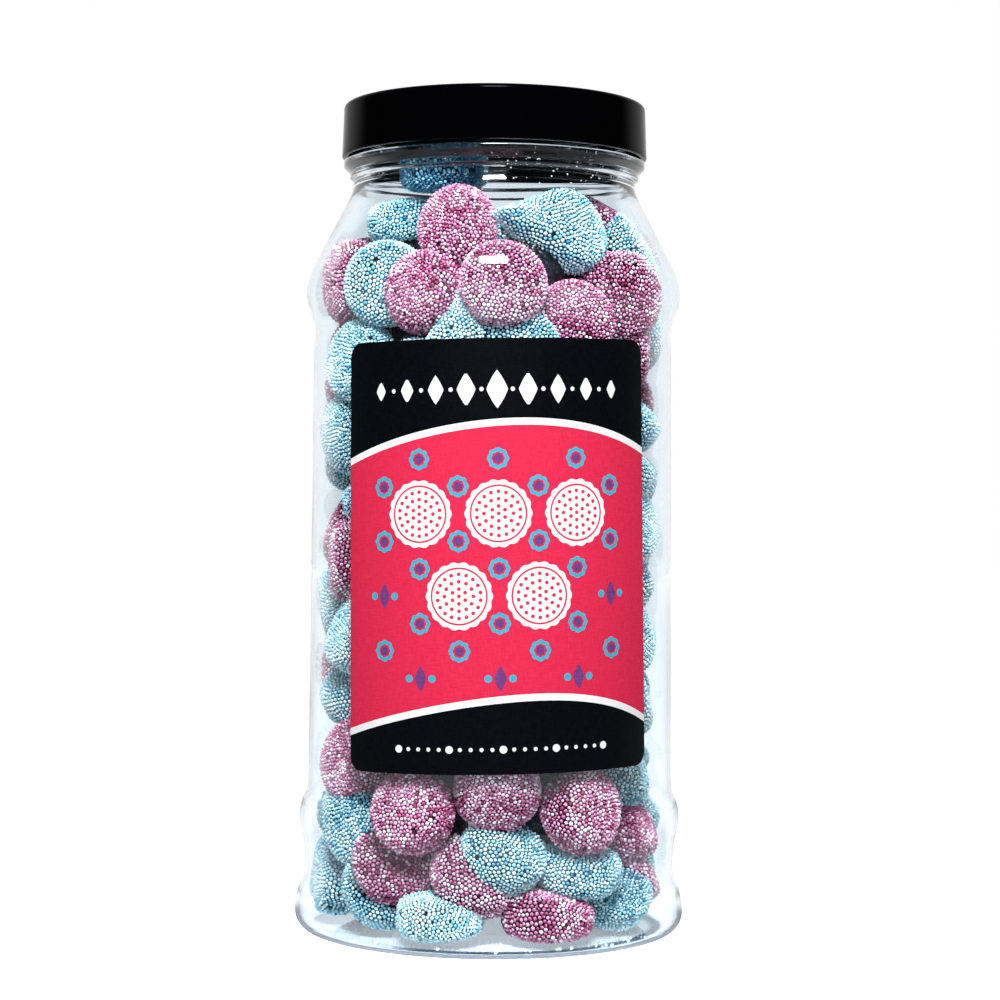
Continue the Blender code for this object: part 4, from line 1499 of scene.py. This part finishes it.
@dataclass
class SweetHeap:
    """The jar's filling: jelly bodies, their beads, and a dark core, painted shade, that closes the view
    through.
    """

    heap: Heap
    coat: BeadCoat
    body_rows: int = 13
    body_columns: int = 24
    body_sink: float = 0.85
    core_inset: float = 17.0
    core_heights: Pair = (9.0, 145.0)
    core_grid: tuple[int, int] = (24, 48)
    core_wave: Pair = (0.8, 0.9)
    # Painted shade: how much deeper the beads are toned on sweets up in the neck, for the lid's shade, and
    # the heights over which it sets in.
    neck_shade: float = 0.42
    neck_heights: Pair = (155.0, 163.0)
    tone_spreads: Pair = (0.04, 0.2)
    pale_beads: Pair = (0.06, 0.3)
    patch_depth: float = 0.11
    patch_waves: Pair = (0.3, 0.7)
    # How much paler beads are where they lie close to the wall, and the gap within which all of it applies.
    wall_paling: float = 0.12
    wall_paling_gap: float = 0.9
    sight_tilts: Knots = ((0.0, 0.0), (0.75, 0.0), (-0.75, 0.0), (0.0, 0.55), (0.0, -0.55), (0.0, -9.0))
    sight_steps: tuple[float, ...] = (1.6, 3.2, 5.2, 8.0, 12.0)
    sight_slope: float = 0.12
    floor_view: float = 24.0
    sunk_level: float = 0.8
    blocked_level: float = 0.9
    near_reach: float = 27.0
    seed: int = 23
    bead_limit: int = 15000
    belt_height: float = 0.05
    pole_heights: Pair = (0.92, -0.9)

    def bodies(self, sweets: Sweets) -> tuple[Array, list[Array]]:
        """Grid each sweet's skin, sunk under its beads, with a point at each pole.

        Args:
            sweets: the sweets.

        Returns:
            All their points, and their quads and triangles.
        """
        skin = self.coat.skin
        share = np.linspace(0.0, 1.0, self.body_rows)[1:-1]
        turn = circle(self.body_columns) - math.pi
        grid_share = np.concatenate((np.repeat(share, len(turn)), (0.0, 1.0)))
        grid_turn = np.concatenate((np.tile(turn, len(share)), (0.0, 0.0)))
        points = [s.placed(s.warped(skin.points(s, grid_share, grid_turn, self.body_sink, skin.by_length)))
                  for s in sweets]
        shift = (np.arange(len(sweets)) * len(grid_share))[:, None, None]
        faces = [(group + shift).reshape(-1, group.shape[1]) for group in capped(len(share), len(turn))]
        return np.vstack(points), faces

    def seen(self, sweets: Sweets, index: int, places: Array, slopes: Array) -> Array:
        """Which beads of a sweet can be seen through the wall from somewhere outside.

        From each bead, sight lines go out from the jar's axis, to both sides, up and down, and from
        low beads straight down. A line that faces the bead counts if none of its sample points lies
        inside a neighbour.

        Args:
            sweets: all the sweets.
            index: number of the beads' own sweet.
            places: bead centres.
            slopes: outward directions there.

        Returns:
            A mask of the beads that show.
        """
        centre = sweets[index].centre()
        near = [k for k, other in enumerate(sweets)
                if k != index and np.linalg.norm(other.centre() - centre) < self.near_reach]
        clear = np.ones(len(places), bool)
        for k in near:
            clear &= sweets[k].level(places) > self.sunk_level
        outward = unit(places * (1.0, 1.0, 0.0))
        sideways = np.stack((-outward[:, 1], outward[:, 0], np.zeros(len(places))), axis=1)
        up = np.array((0.0, 0.0, 1.0))
        shown = np.zeros(len(places), bool)
        steps = np.array(self.sight_steps)[:, None]
        for side, rise in self.sight_tilts:
            line = unit(outward + side * sideways + rise * up)
            open_way = clear & (np.einsum("ij,ij->i", line, slopes) > self.sight_slope) & ~shown
            if rise < -1.0:
                open_way &= places[:, 2] < self.floor_view
            todo = np.flatnonzero(open_way)
            if not len(todo):
                continue
            samples = places[todo, None, :] + line[todo, None, :] * steps
            free = np.ones(samples.shape[:2], bool)
            for k in near:
                levels = sweets[k].level(samples.reshape(-1, 3))
                free &= (levels > self.blocked_level).reshape(free.shape)
            shown[todo[free.all(axis=1)]] = True
        return shown & ~self.behind_label(places)

    def behind_label(self, places: Array) -> Array:
        """Which places the label hides from every side.

        Args:
            places: (n, 3) places.

        Returns:
            A mask of the places.
        """
        bearing = np.degrees(np.arctan2(places[:, 0], -places[:, 1]))
        low, high = self.heap.hidden_bearings
        bottom, top = self.heap.hidden_heights
        across = (bearing > low) & (bearing < high)
        return across & (places[:, 2] > bottom) & (places[:, 2] < top)

    @classmethod
    def bead_form(cls) -> ArrayPair:
        """A small closed gem about the outward axis: a pole, a ring of six, and a lower pole.

        Returns:
            Its points and triangles.
        """
        ring = circle(6)
        belt = np.stack((np.cos(ring), np.sin(ring), np.full(6, cls.belt_height)), axis=1)
        high, low = cls.pole_heights
        points = np.vstack(((0.0, 0.0, high), belt, (0.0, 0.0, low)))
        here, there = neighbours(6)
        top = np.stack((np.zeros(6, int), here + 1, there + 1), axis=1)
        base = np.stack((np.full(6, 7), there + 1, here + 1), axis=1)
        return points, np.vstack((top, base))

    @classmethod
    def bead_mesh(cls, places: Array, slopes: Array, radii: Array, draw: Draw) -> ArrayPair:
        """Put one bead at each place, its pole along the outward direction, turned at random.

        Args:
            places: bead centres.
            slopes: outward directions there.
            radii: bead radii.
            draw: the random source of the turns.

        Returns:
            Points and triangles.
        """
        form, faces = cls.bead_form()
        aside = unit(np.cross(slopes, unit(draw.normal(size=slopes.shape))))
        across = np.cross(slopes, aside)
        frames = np.stack((aside, across, slopes), axis=1) * radii[:, None, None]
        points = np.einsum("vk,nkj->nvj", form, frames) + places[:, None, :]
        shift = (np.arange(len(places)) * len(form))[:, None, None]
        return points.reshape(-1, 3), (faces + shift).reshape(-1, 3)

    def tones(self, places: Array, draw: Draw) -> Array:
        """Tone of each bead: the sweet's own, deeper up in the neck as painted shade, soft patches, and
        paler where it lies close to the wall.

        Args:
            places: centres of one sweet's beads.
            draw: the random source.

        Returns:
            (n,) tones, 0 deep to 1 pale.
        """
        own_spread, bead_spread = self.tone_spreads
        # Painted shade: sweets up in the neck get a deeper tone, for the lid's shade.
        in_neck = np.interp(places[:, 2].mean(), self.neck_heights, (0.0, 1.0))
        base = draw.normal(0.5, own_spread) - self.neck_shade * in_neck
        waves = unit(draw.normal(size=(3, 3))) * draw.uniform(*self.patch_waves, size=(3, 1))
        patches = np.sin(places @ waves.T + draw.uniform(0.0, 6.28, size=3)).mean(axis=1)
        # Beads close to the jar's wall are made paler.
        gap = self.heap.jar.wall_radius(places[:, 2]) - np.hypot(places[:, 0], places[:, 1])
        wall_paling = self.wall_paling * np.exp(-np.maximum(gap - self.wall_paling_gap, 0.0))
        pale_share, pale_step = self.pale_beads
        spread = draw.normal(0.0, bead_spread, size=len(places))
        spread += pale_step * (draw.random(len(places)) < pale_share)
        return np.clip(base + self.patch_depth * patches + wall_paling + spread, 0.0, 1.0)

    def core_piece(self) -> Piece:
        """A turned core of dark jelly, painted shade, well behind the sweets, that closes the view through
        the heap.

        Returns:
            The core.
        """
        low, high = self.core_heights
        rows, columns = self.core_grid
        heights = np.linspace(low, high, rows)
        swell, wave = self.core_wave
        radii = self.heap.jar.wall_radius(heights) - self.core_inset + swell * np.sin(heights * wave)
        line = np.vstack(((0.0, low), np.stack((radii, heights), axis=1), (0.0, high)))
        return turned_piece("heap_core", line, columns, PAINTED_SHADE_JELLY.material())

    def build(self) -> list[Piece]:
        """Make the bodies, the core and the beads.

        Returns:
            The pieces that replace the CAD heap.
        """
        draw = np.random.default_rng(self.seed)
        sweets = self.heap.lay_out()
        pieces = [self.core_piece(), self.back_layer()]
        finishes = {PINK: (PINK_JELLY, PINK_BEADS), BLUE: (BLUE_JELLY, BLUE_BEADS)}
        coats: dict[SweetColour, list[tuple[Array, ...]]] = {PINK: [], BLUE: []}
        for index, sweet in enumerate(sweets):
            places, slopes, radii = self.coat.coat(sweet, draw)
            tones = self.tones(places, draw)
            shown = self.seen(sweets, index, places, slopes)
            coats[sweet.colour].append((places[shown], slopes[shown], radii[shown], tones[shown]))
        for colour, (jelly, sugar) in finishes.items():
            points, faces = self.bodies([s for s in sweets if s.colour is colour])
            pieces.append(new_piece(f"jelly_{colour.value}", points, faces, [jelly.material()]))
            places, slopes, radii, tones = [np.concatenate(parts) for parts in zip(*coats[colour])]
            pieces += self.bead_pieces(colour, sugar.material(), places, slopes, radii, tones, draw)
        for piece in pieces:
            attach(piece, "root")
            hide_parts("sweets")
        return pieces

    def back_layer(self) -> Piece:
        """Sweets behind the gaps: bodies of dark jelly, painted shade, whose beads are relief alone."""
        points, faces = self.bodies(self.heap.second_layer())
        return new_piece("jelly_behind", points, faces, [PAINTED_SHADE_JELLY.material()])

    def bead_pieces(self, colour: SweetColour, material: Material, places: Array, slopes: Array,
                    radii: Array, tones: Array, draw: Draw) -> list[Piece]:
        """Write one colour's beads as a few pieces, none of them too large.

        Args:
            colour: the colour.
            material: the beads' finish.
            places: bead centres.
            slopes: outward directions there.
            radii: bead radii.
            tones: bead tones, 0 deep to 1 pale.
            draw: the random source of the beads' turns.

        Returns:
            The pieces.
        """
        count = math.ceil(len(places) / self.bead_limit)
        log.info("%s beads: %d in %d pieces", colour.value, len(places), count)
        pieces = []
        for k, rows in enumerate(np.array_split(np.arange(len(places)), count)):
            points, faces = self.bead_mesh(places[rows], slopes[rows], radii[rows], draw)
            piece = new_piece(f"beads_{colour.value}_{k + 1}", points, [faces], [material])
            set_attribute(piece, "tone", np.repeat(tones[rows], len(points) // len(rows)))
            pieces.append(piece)
        return pieces


@dataclass
class LooseSugar:
    """What has shaken off: fine white grains on the neck's inside, and beads on the floor."""

    jar: BlownJar
    grains: int = 70
    grain_sizes: Pair = (0.07, 0.17)
    grain_bearings: Pair = (-20.0, 50.0)
    grain_heights: Pair = (157.0, 168.0)
    fallen: int = 26
    fallen_bearings: Pair = (-60.0, 60.0)
    fallen_radii: Pair = (36.4, 38.6)
    fallen_sizes: Pair = (0.32, 0.5)
    fallen_tone: float = 0.8
    grain_gap: float = 0.12
    floor_gap: float = 0.02
    seed: int = 31

    def build(self) -> list[Piece]:
        """Make the grains and the fallen beads.

        Returns:
            The two pieces, part of what replaces the CAD heap.
        """
        draw = np.random.default_rng(self.seed)
        height = draw.uniform(*self.grain_heights, self.grains)
        wall = self.jar.wall_radius(height) - self.grain_gap
        radii = draw.uniform(*self.grain_sizes, self.grains)
        grains = self.scattered(draw, self.grain_bearings, wall, height, radii)
        radii = draw.uniform(*self.fallen_sizes, self.fallen)
        reach = draw.uniform(*self.fallen_radii, self.fallen)
        height = self.jar.wall + radii + self.floor_gap
        beads = self.scattered(draw, self.fallen_bearings, reach, height, radii)
        pieces = []
        for name, (points, faces), sugar, tone in (
            ("sugar_grains", grains, WHITE_SUGAR, 1.0),
            ("fallen_beads", beads, BLUE_BEADS, self.fallen_tone),
        ):
            piece = new_piece(name, points, [faces], [sugar.material()])
            set_attribute(piece, "tone", np.full(len(points), tone))
            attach(piece, "root")
            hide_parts("sweets")
            pieces.append(piece)
        return pieces

    @staticmethod
    def scattered(draw: Draw, bearings: Pair, reach: Array, height: Array, radii: Array) -> ArrayPair:
        """Scatter grains between two bearings, at the given distances from the axis and heights.

        Args:
            draw: the random source.
            bearings: the two bearings.
            reach: distances from the axis.
            height: heights.
            radii: sizes of the grains.

        Returns:
            Points and triangles.
        """
        places = around(reach, np.radians(draw.uniform(*bearings, len(reach))), height)
        return SweetHeap.bead_mesh(places, unit(places * (1.0, 1.0, 0.0)), radii, draw)


# ---- label


@dataclass
class FrontLabel:
    """The printed label: a thin film round the front panel, in five bands of ink."""

    jar: BlownJar
    bearings: Pair = (-47.8, 53.4)
    heights: Pair = (37.8, 126.6)
    turn: float = 1.1
    map_radius: float = 39.5
    corner_radius: float = 3.2
    gap: float = 0.06
    thickness: float = 0.16
    stripe: float = 1.46
    upper_curve: Knots = ((-47.8, 101.9), (-18.0, 107.6), (12.4, 109.6), (34.0, 107.9), (53.4, 103.5))
    lower_curve: Knots = ((-47.8, 45.8), (-18.0, 51.0), (15.0, 53.4), (36.0, 51.8), (53.4, 47.4))
    columns: int = 150
    corner_columns: int = 9
    sharp_angle: float = 30.0
    band_rows: tuple[int, ...] = (8, 3, 26, 3, 14)

    def curve(self, knots: Knots, bearing: Array) -> Array:
        """Height of a stripe's middle: the polynomial through its five points."""
        places, levels = np.array(knots).T
        return np.polyval(np.polyfit(places, levels, len(knots) - 1), bearing)

    def columns_at(self) -> ArrayPair:
        """Bearings of the columns, crowded at the rounded corners, and the corner's cut at each.

        Returns:
            The bearings, and the cut in mm at each.
        """
        first, last = self.bearings
        turn = math.degrees(self.corner_radius / self.jar.panel_high[0])
        swing = np.linspace(0.0, 0.5 * math.pi, self.corner_columns)
        along = turn * (1.0 - np.cos(swing))
        cut = self.corner_radius * (1.0 - np.sin(swing))
        middle = np.linspace(first + turn, last - turn, self.columns)[1:-1]
        bearing = np.concatenate((first + along, middle, (last - along)[::-1]))
        return bearing, np.concatenate((cut, np.zeros(len(middle)), cut[::-1]))

    def build(self) -> list[Piece]:
        """Make the film: rows follow the edges of the stripes, so each band is one ink.

        Returns:
            The piece that replaces the CAD label.
        """
        bearing, cut = self.columns_at()
        low, high = self.heights
        upper = self.curve(self.upper_curve, bearing)
        lower = self.curve(self.lower_curve, bearing)
        half = 0.5 * self.stripe
        edges = [low + cut, lower - half, lower + half, upper - half, upper + half, high - cut]
        rows, slots = [edges[0]], []
        for band, (bottom, top, count) in enumerate(zip(edges, edges[1:], self.band_rows)):
            rows += [bottom + (top - bottom) * k / count for k in range(1, count + 1)]
            slots += [band] * count
        height = np.array(rows)
        front = self.surface(bearing, height, self.gap + self.thickness)
        back = self.surface(bearing, height, self.gap)
        count, columns = height.shape
        quads = lattice(count, columns, closed=False)
        size = count * columns
        rim = np.concatenate((
            np.arange(columns), np.arange(1, count) * columns + columns - 1,
            (count - 1) * columns + np.arange(columns - 1)[::-1], np.arange(1, count - 1)[::-1] * columns,
        ))
        after = np.roll(rim, -1)
        edge_quads = np.stack((rim + size, after + size, after, rim), axis=1)
        faces = np.vstack((quads, quads[:, ::-1] + size, edge_quads))
        inks = np.repeat(np.array((0, 1, 2, 1, 0))[slots], columns - 1)
        all_slots = np.concatenate((inks, np.full(len(quads), 1), np.zeros(len(rim), int)))
        materials = [BLACK_INK.material(), WHITE_INK.material(), CRIMSON_INK.material()]
        film = new_piece("label_film", np.vstack((front, back)), [faces], materials, all_slots)
        along = np.radians(np.broadcast_to(bearing, height.shape)) * self.map_radius
        chart = np.stack((along, height), axis=2).reshape(-1, 2)
        self.map_print(film, np.vstack((chart, chart)))
        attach(film, "root")
        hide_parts("label")
        return [film]

    def surface(self, bearing: Array, height: Array, lift: float) -> Array:
        """Places on the panel at a lift off its wall, with the label turned about its middle.

        Args:
            bearing: bearings on the unturned label.
            height: heights on it.
            lift: mm off the wall.

        Returns:
            (n, 3) places.
        """
        middle_bearing, middle_height = np.mean(self.bearings), np.mean(self.heights)
        along = np.radians(np.broadcast_to(bearing, height.shape) - middle_bearing) * self.map_radius
        turn = math.radians(self.turn)
        rise = height - middle_height
        height = middle_height + along * math.sin(turn) + rise * math.cos(turn)
        along = along * math.cos(turn) - rise * math.sin(turn)
        angle = along / self.map_radius + math.radians(middle_bearing)
        radius = self.jar.panel_radius(height) + lift
        return around(radius, angle, height).reshape(-1, 3)

    @classmethod
    def map_print(cls, piece: Piece, chart: Array) -> None:
        """Give a piece sharp edges and the label's own map: mm along and up the film.

        Args:
            piece: the piece.
            chart: (n, 2) map places of its vertices.
        """
        piece.data.set_sharp_from_angle(angle=math.radians(cls.sharp_angle))
        corners = np.zeros(len(piece.data.loops), np.int32)
        piece.data.loops.foreach_get("vertex_index", corners)
        layer = piece.data.uv_layers.new(name="print")
        layer.data.foreach_set("uv", chart[corners].astype(np.float32).ravel())


@dataclass
class InkShape:
    """A small printed shape: an outline given as distance from its middle in every direction."""

    along: float
    height: float
    outline: Outline
    hole: float = 0.0


@dataclass
class LabelArt:
    """The print on the film: dots, rings and lozenges as thin screen-printed ink."""

    label: FrontLabel
    ink_heights: Pair = (0.02, 0.045)
    ink_root: float = 0.03
    side_length: float = 0.5
    side_counts: tuple[int, int] = (16, 90)
    ring_step: float = 1.3
    button_radius: float = 7.0
    button_rows: tuple[tuple[float, tuple[float, ...]], ...] = (
        (90.9, (-15.0, 1.6, 18.2)), (74.1, (-6.7, 9.9)),
    )
    button_rim: tuple[int, float] = (18, 0.06)
    button_line: Pair = (5.9, 0.94)
    button_dots: tuple[tuple[int, float], ...] = ((1, 0.0), (6, 1.5), (12, 3.0), (18, 4.5))
    button_dot: float = 0.4
    pitch: Pair = (16.6, 16.8)
    net_rows: range = range(-2, 3)
    net_columns: range = range(-4, 6)
    node_lozenge: Pair = (1.3, 2.7)
    node_dots: Pair = (2.5, 0.8)
    flower_rim: tuple[float, int, float] = (2.3, 8, 0.16)
    flower_hole: float = 0.62
    flower_heart: float = 0.95
    button_clearance: float = 2.2
    side_clearance: float = 4.5
    stripe_clearance: float = 3.6
    top_row: tuple[float, float, float, int] = (1.6, 116.2, 6.4, 4)
    top_lozenge: Pair = (2.2, 3.9)
    top_shrink: float = 0.12
    top_dot: float = 0.45
    bottom_row: tuple[float, float, float, int] = (2.0, 42.9, 2.2, 10)
    bottom_dots: Pair = (0.42, 0.8)

    @staticmethod
    def disc(radius: float) -> Outline:
        """Outline of a disc."""
        return lambda turn: np.full_like(turn, radius)

    @staticmethod
    def lozenge(wide: float, tall: float) -> Outline:
        """Outline of a lozenge with slightly rounded points: |x / wide|^1.15 + |y / tall|^1.15 = 1.

        Args:
            wide: half its width.
            tall: half its height.

        Returns:
            The outline.
        """
        power = 1.15
        return lambda turn: (np.abs(np.cos(turn) / wide) ** power
                             + np.abs(np.sin(turn) / tall) ** power) ** (-1.0 / power)

    @staticmethod
    def scallop(radius: float, lobes: int, depth: float) -> Outline:
        """Outline of a disc whose rim swells in rounded lobes."""
        return lambda turn: radius * (1.0 - depth + depth * np.abs(np.cos(0.5 * lobes * turn)))

    def slab(self, shape: InkShape, lift: float) -> tuple[Array, Array, Array]:
        """Closed thin slab of ink in the shape of an outline.

        Args:
            shape: the shape and its place on the label, in mm along and up the film.
            lift: how high the ink stands, more where it is printed over another.

        Returns:
            Points, triangles and the map of the points.
        """
        widest = float(shape.outline(np.linspace(0.0, 2.0 * math.pi, 90)).max())
        sides = int(np.clip(2.0 * math.pi * widest / self.side_length, *self.side_counts))
        turn = circle(sides)
        reach = shape.outline(turn)
        rings = max(int(reach.max() * (1.0 - shape.hole) / self.ring_step), 1)
        share = np.linspace(max(shape.hole, 0.02), 1.0, rings + 1)
        along = shape.along + share[:, None] * reach * np.cos(turn)
        height = shape.height + share[:, None] * reach * np.sin(turn)
        chart = np.stack((along, height), axis=2).reshape(-1, 2)
        top = self.on_film(chart, lift)
        bottom = self.on_film(chart, -self.ink_root)
        quads = lattice(rings + 1, sides)
        shift = len(chart)
        first, second = neighbours(sides)
        last, after = rings * sides + first, rings * sides + second
        rim = np.stack((last, last + shift, after + shift, after), axis=1)
        inner = np.stack((second, second + shift, first + shift, first), axis=1)
        faces = np.vstack((quads[:, ::-1], quads + shift, rim, inner))
        return np.vstack((top, bottom)), faces, np.vstack((chart, chart))

    def on_film(self, chart: Array, lift: float) -> Array:
        """Places of label points at a lift off the film's face."""
        bearing = np.degrees(chart[:, 0] / self.label.map_radius)
        return self.label.surface(bearing, chart[:, 1], self.label.gap + self.label.thickness + lift)

    def art(self) -> dict[str, list[InkShape]]:
        """Lay out the design.

        Returns:
            The shapes of each ink.
        """
        art = {"white": [], "crimson": [], "turquoise": [], "violet": []}

        def ink(name: str, along: float, height: float, outline: Outline, hole: float = 0.0) -> None:
            """Add a shape to an ink."""
            art[name].append(InkShape(along, height, outline, hole))

        for along, height in self.buttons():
            ink("white", along, height, self.scallop(self.button_radius, *self.button_rim))
            ink("crimson", along, height, self.disc(self.button_line[0]), self.button_line[1])
            for ring, (count, reach) in enumerate(self.button_dots):
                for turn in circle(count) + math.pi * (ring % 2) / count:
                    place = along + reach * math.cos(turn), height + reach * math.sin(turn)
                    ink("crimson", *place, self.disc(self.button_dot))
        for along, height, at_node in self.net():
            if at_node:
                ink("violet", along, height, self.lozenge(*self.node_lozenge))
                for side in (-1.0, 1.0):
                    ink("turquoise", along + side * self.node_dots[0], height, self.disc(self.node_dots[1]))
            else:
                ink("turquoise", along, height, self.scallop(*self.flower_rim), self.flower_hole)
                ink("violet", along, height, self.disc(self.flower_heart))
        middle, height, step, most = self.top_row
        for k in range(-most, most + 1):
            wide, tall = (size * (1.0 - self.top_shrink * abs(k)) for size in self.top_lozenge)
            ink("white", middle + step * k, height, self.lozenge(wide, tall))
            if k < most:
                ink("white", middle + step * (k + 0.5), height, self.disc(self.top_dot))
        middle, height, step, most = self.bottom_row
        for k in range(-most, most + 1):
            ink("white", middle + step * k, height, self.disc(self.bottom_dots[k % 5 == 0]))
        return art

    def buttons(self) -> list[Pair]:
        """Place of each button along and up the film."""
        return [(along, height) for height, row in self.button_rows for along in row]

    def net(self) -> list[tuple[float, float, bool]]:
        """Free places of the triangular net that the buttons lie on: its nodes and its middles.

        Returns:
            Place along and up the film, and whether it is a node.
        """
        step, rise = self.pitch
        base_height, (base_along, _) = self.button_rows[1]
        places = []
        for row in self.net_rows:
            for column in self.net_columns:
                along = base_along + (column + 0.5 * (row % 2)) * step
                height = base_height + row * rise
                places += [(along, height, True), (along, height + 2.0 * rise / 3.0, False),
                           (along, height - 2.0 * rise / 3.0, False)]
        reach = self.button_radius + self.button_clearance
        return [(along, height, at_node) for along, height, at_node in places if self.in_field(along, height)
                and min(math.hypot(along - a, height - h) for a, h in self.buttons()) > reach]

    def in_field(self, along: float, height: float) -> bool:
        """Whether a motif fits between the stripes and the side edges.

        Args:
            along: mm along the film.
            height: mm up it.

        Returns:
            Whether it fits.
        """
        bearing = math.degrees(along / self.label.map_radius)
        first, last = self.label.bearings
        upper = self.label.curve(self.label.upper_curve, bearing) - self.stripe_clearance
        lower = self.label.curve(self.label.lower_curve, bearing) + self.stripe_clearance
        inside = first + self.side_clearance < bearing < last - self.side_clearance
        return bool(inside and lower < height < upper)

    def build(self) -> list[Piece]:
        """Make one piece for each ink.

        Returns:
            The pieces, part of what replaces the CAD label.
        """
        inks = {"white": WHITE_INK, "crimson": CRIMSON_INK, "turquoise": TURQUOISE_INK, "violet": VIOLET_INK}
        pieces = []
        for name, shapes in self.art().items():
            slabs = [self.slab(shape, self.ink_heights[name == "crimson"]) for shape in shapes]
            starts = np.concatenate(([0], np.cumsum([len(points) for points, _, _ in slabs])[:-1]))
            points = np.vstack([points for points, _, _ in slabs])
            faces = np.vstack([faces + start for (_, faces, _), start in zip(slabs, starts)])
            piece = new_piece(f"print_{name}", points, [faces], [inks[name].material()])
            FrontLabel.map_print(piece, np.vstack([chart for _, _, chart in slabs]))
            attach(piece, "root")
            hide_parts("label")
            pieces.append(piece)
        return pieces


# ---- studio


@dataclass
class Studio:
    """Pale floor, soft light, and the camera of the photograph."""

    distance: float = 540.0
    eye_height: float = 93.6
    lens: float = 88.7
    sensor: float = 36.0
    nearest: float = 10.0
    shift: float = 0.0083
    roll: float = -0.45
    floor_radii: tuple[float, ...] = (60.0, 200.0, 700.0, 3000.0)
    floor_sides: int = 96
    aim_height: float = 90.0
    panel_edges: Pair = (0.35, 0.65)
    dark_level: float = 0.02
    side_edges: Pair = (0.05, 0.3)
    key_place: Triple = (0.0, -570.0, 670.0)
    key_size: Pair = (200.0, 165.0)
    key_power: float = 11.2

    def camera(self) -> None:
        """Stand the camera level in front of the jar."""
        data = bpy.data.cameras.new("camera")
        data.lens = self.lens
        data.sensor_width = self.sensor
        data.shift_x = self.shift
        data.clip_start = self.nearest * MM
        item = bpy.data.objects.new("camera", data)
        item.location = (0.0, -self.distance * MM, self.eye_height * MM)
        item.rotation_euler = (math.radians(90.0), math.radians(self.roll), 0.0)
        bpy.context.scene.collection.objects.link(item)
        bpy.context.scene.camera = item

    def floor(self) -> None:
        """Lay a round table top under the jar."""
        turn = circle(self.floor_sides)
        rings = [around(radius, turn, 0.0 * turn) for radius in self.floor_radii]
        points = np.vstack((*rings, (0.0, 0.0, 0.0)))
        here, there = neighbours(len(turn))
        fan = np.stack((here, there, np.full(len(turn), len(points) - 1)), axis=1)
        faces = [lattice(len(rings), len(turn))[:, ::-1], fan]
        sheet = new_piece("floor", points, faces, [LightTable().material()])

    def key_softbox(self) -> None:
        """Hang the key light, facing the middle of the jar."""
        light = bpy.data.lights.new("key_softbox", "AREA")
        light.shape = "RECTANGLE"
        light.size, light.size_y = self.key_size[0] * MM, self.key_size[1] * MM
        light.energy = self.key_power
        item = bpy.data.objects.new("key_softbox", light)
        place = np.array(self.key_place)
        away = place - (0.0, 0.0, self.aim_height)
        item.location = tuple(place * MM)
        item.rotation_euler = (math.atan2(math.hypot(away[0], away[1]), away[2]), 0.0,
                               math.atan2(away[0], -away[1]))
        bpy.context.scene.collection.objects.link(item)

    def surroundings(self) -> None:
        """White background, bright behind the jar and dim in front of it, as in a small studio.

        What is seen straight through the jar finds white at its sides too; mirror images don't.
        """
        world = bpy.data.worlds.new("studio")
        world.use_nodes = True
        tree = world.node_tree
        tree.nodes.clear()
        direction = add_node(tree, "TexCoord").outputs["Generated"]
        parts = add_node(tree, "SeparateXYZ", {0: direction})
        panel, sides = [add_node(tree, "MapRange", {
            "Value": parts.outputs["Y"], "From Min": edges[0], "From Max": edges[1],
            "To Min": dimmest, "To Max": 1.0,
        }, {"interpolation_type": "SMOOTHSTEP"}) for edges, dimmest in (
            (self.panel_edges, self.dark_level), (self.side_edges, 0.0),
        )]
        path = add_node(tree, "LightPath")
        white_sides = add_node(tree, "Math", {
            0: seen_through(tree, path), 1: sides,
        }, {"operation": "MULTIPLY"})
        strength = panel
        for share in (white_sides, path.outputs["Is Camera Ray"]):
            strength = add_node(tree, "Math", {0: strength, 1: share}, {"operation": "MAXIMUM"})
        light = add_node(tree, "Background", {"Color": linear("#FFFFFF"), "Strength": strength})
        add_node(tree, "OutputWorld", {"Surface": light})
        bpy.context.scene.world = world

    def build(self) -> None:
        """Set up the camera, the floor, the lights and the background."""
        self.camera()
        self.floor()
        self.surroundings()
        self.key_softbox()
        bpy.context.scene.view_settings.view_transform = "Standard"


# ---- main


def main() -> None:
    """Build the jar, its lid, the heap, the label and the studio, and note the sizes."""
    logging.basicConfig(level=logging.INFO, format="%(name)s: %(message)s")
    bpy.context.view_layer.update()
    jar = BlownJar()
    heap = SweetHeap(Heap(jar), BeadCoat(ButtonSkin()))
    for maker in (jar, ScrewLid(), heap, LooseSugar(jar), FrontLabel(jar), LabelArt(FrontLabel(jar))):
        for piece in maker.build():
            log.info("%s: %d faces", piece.name, len(piece.data.polygons))
    Studio().build()


if __name__ == "__main__":
    main()
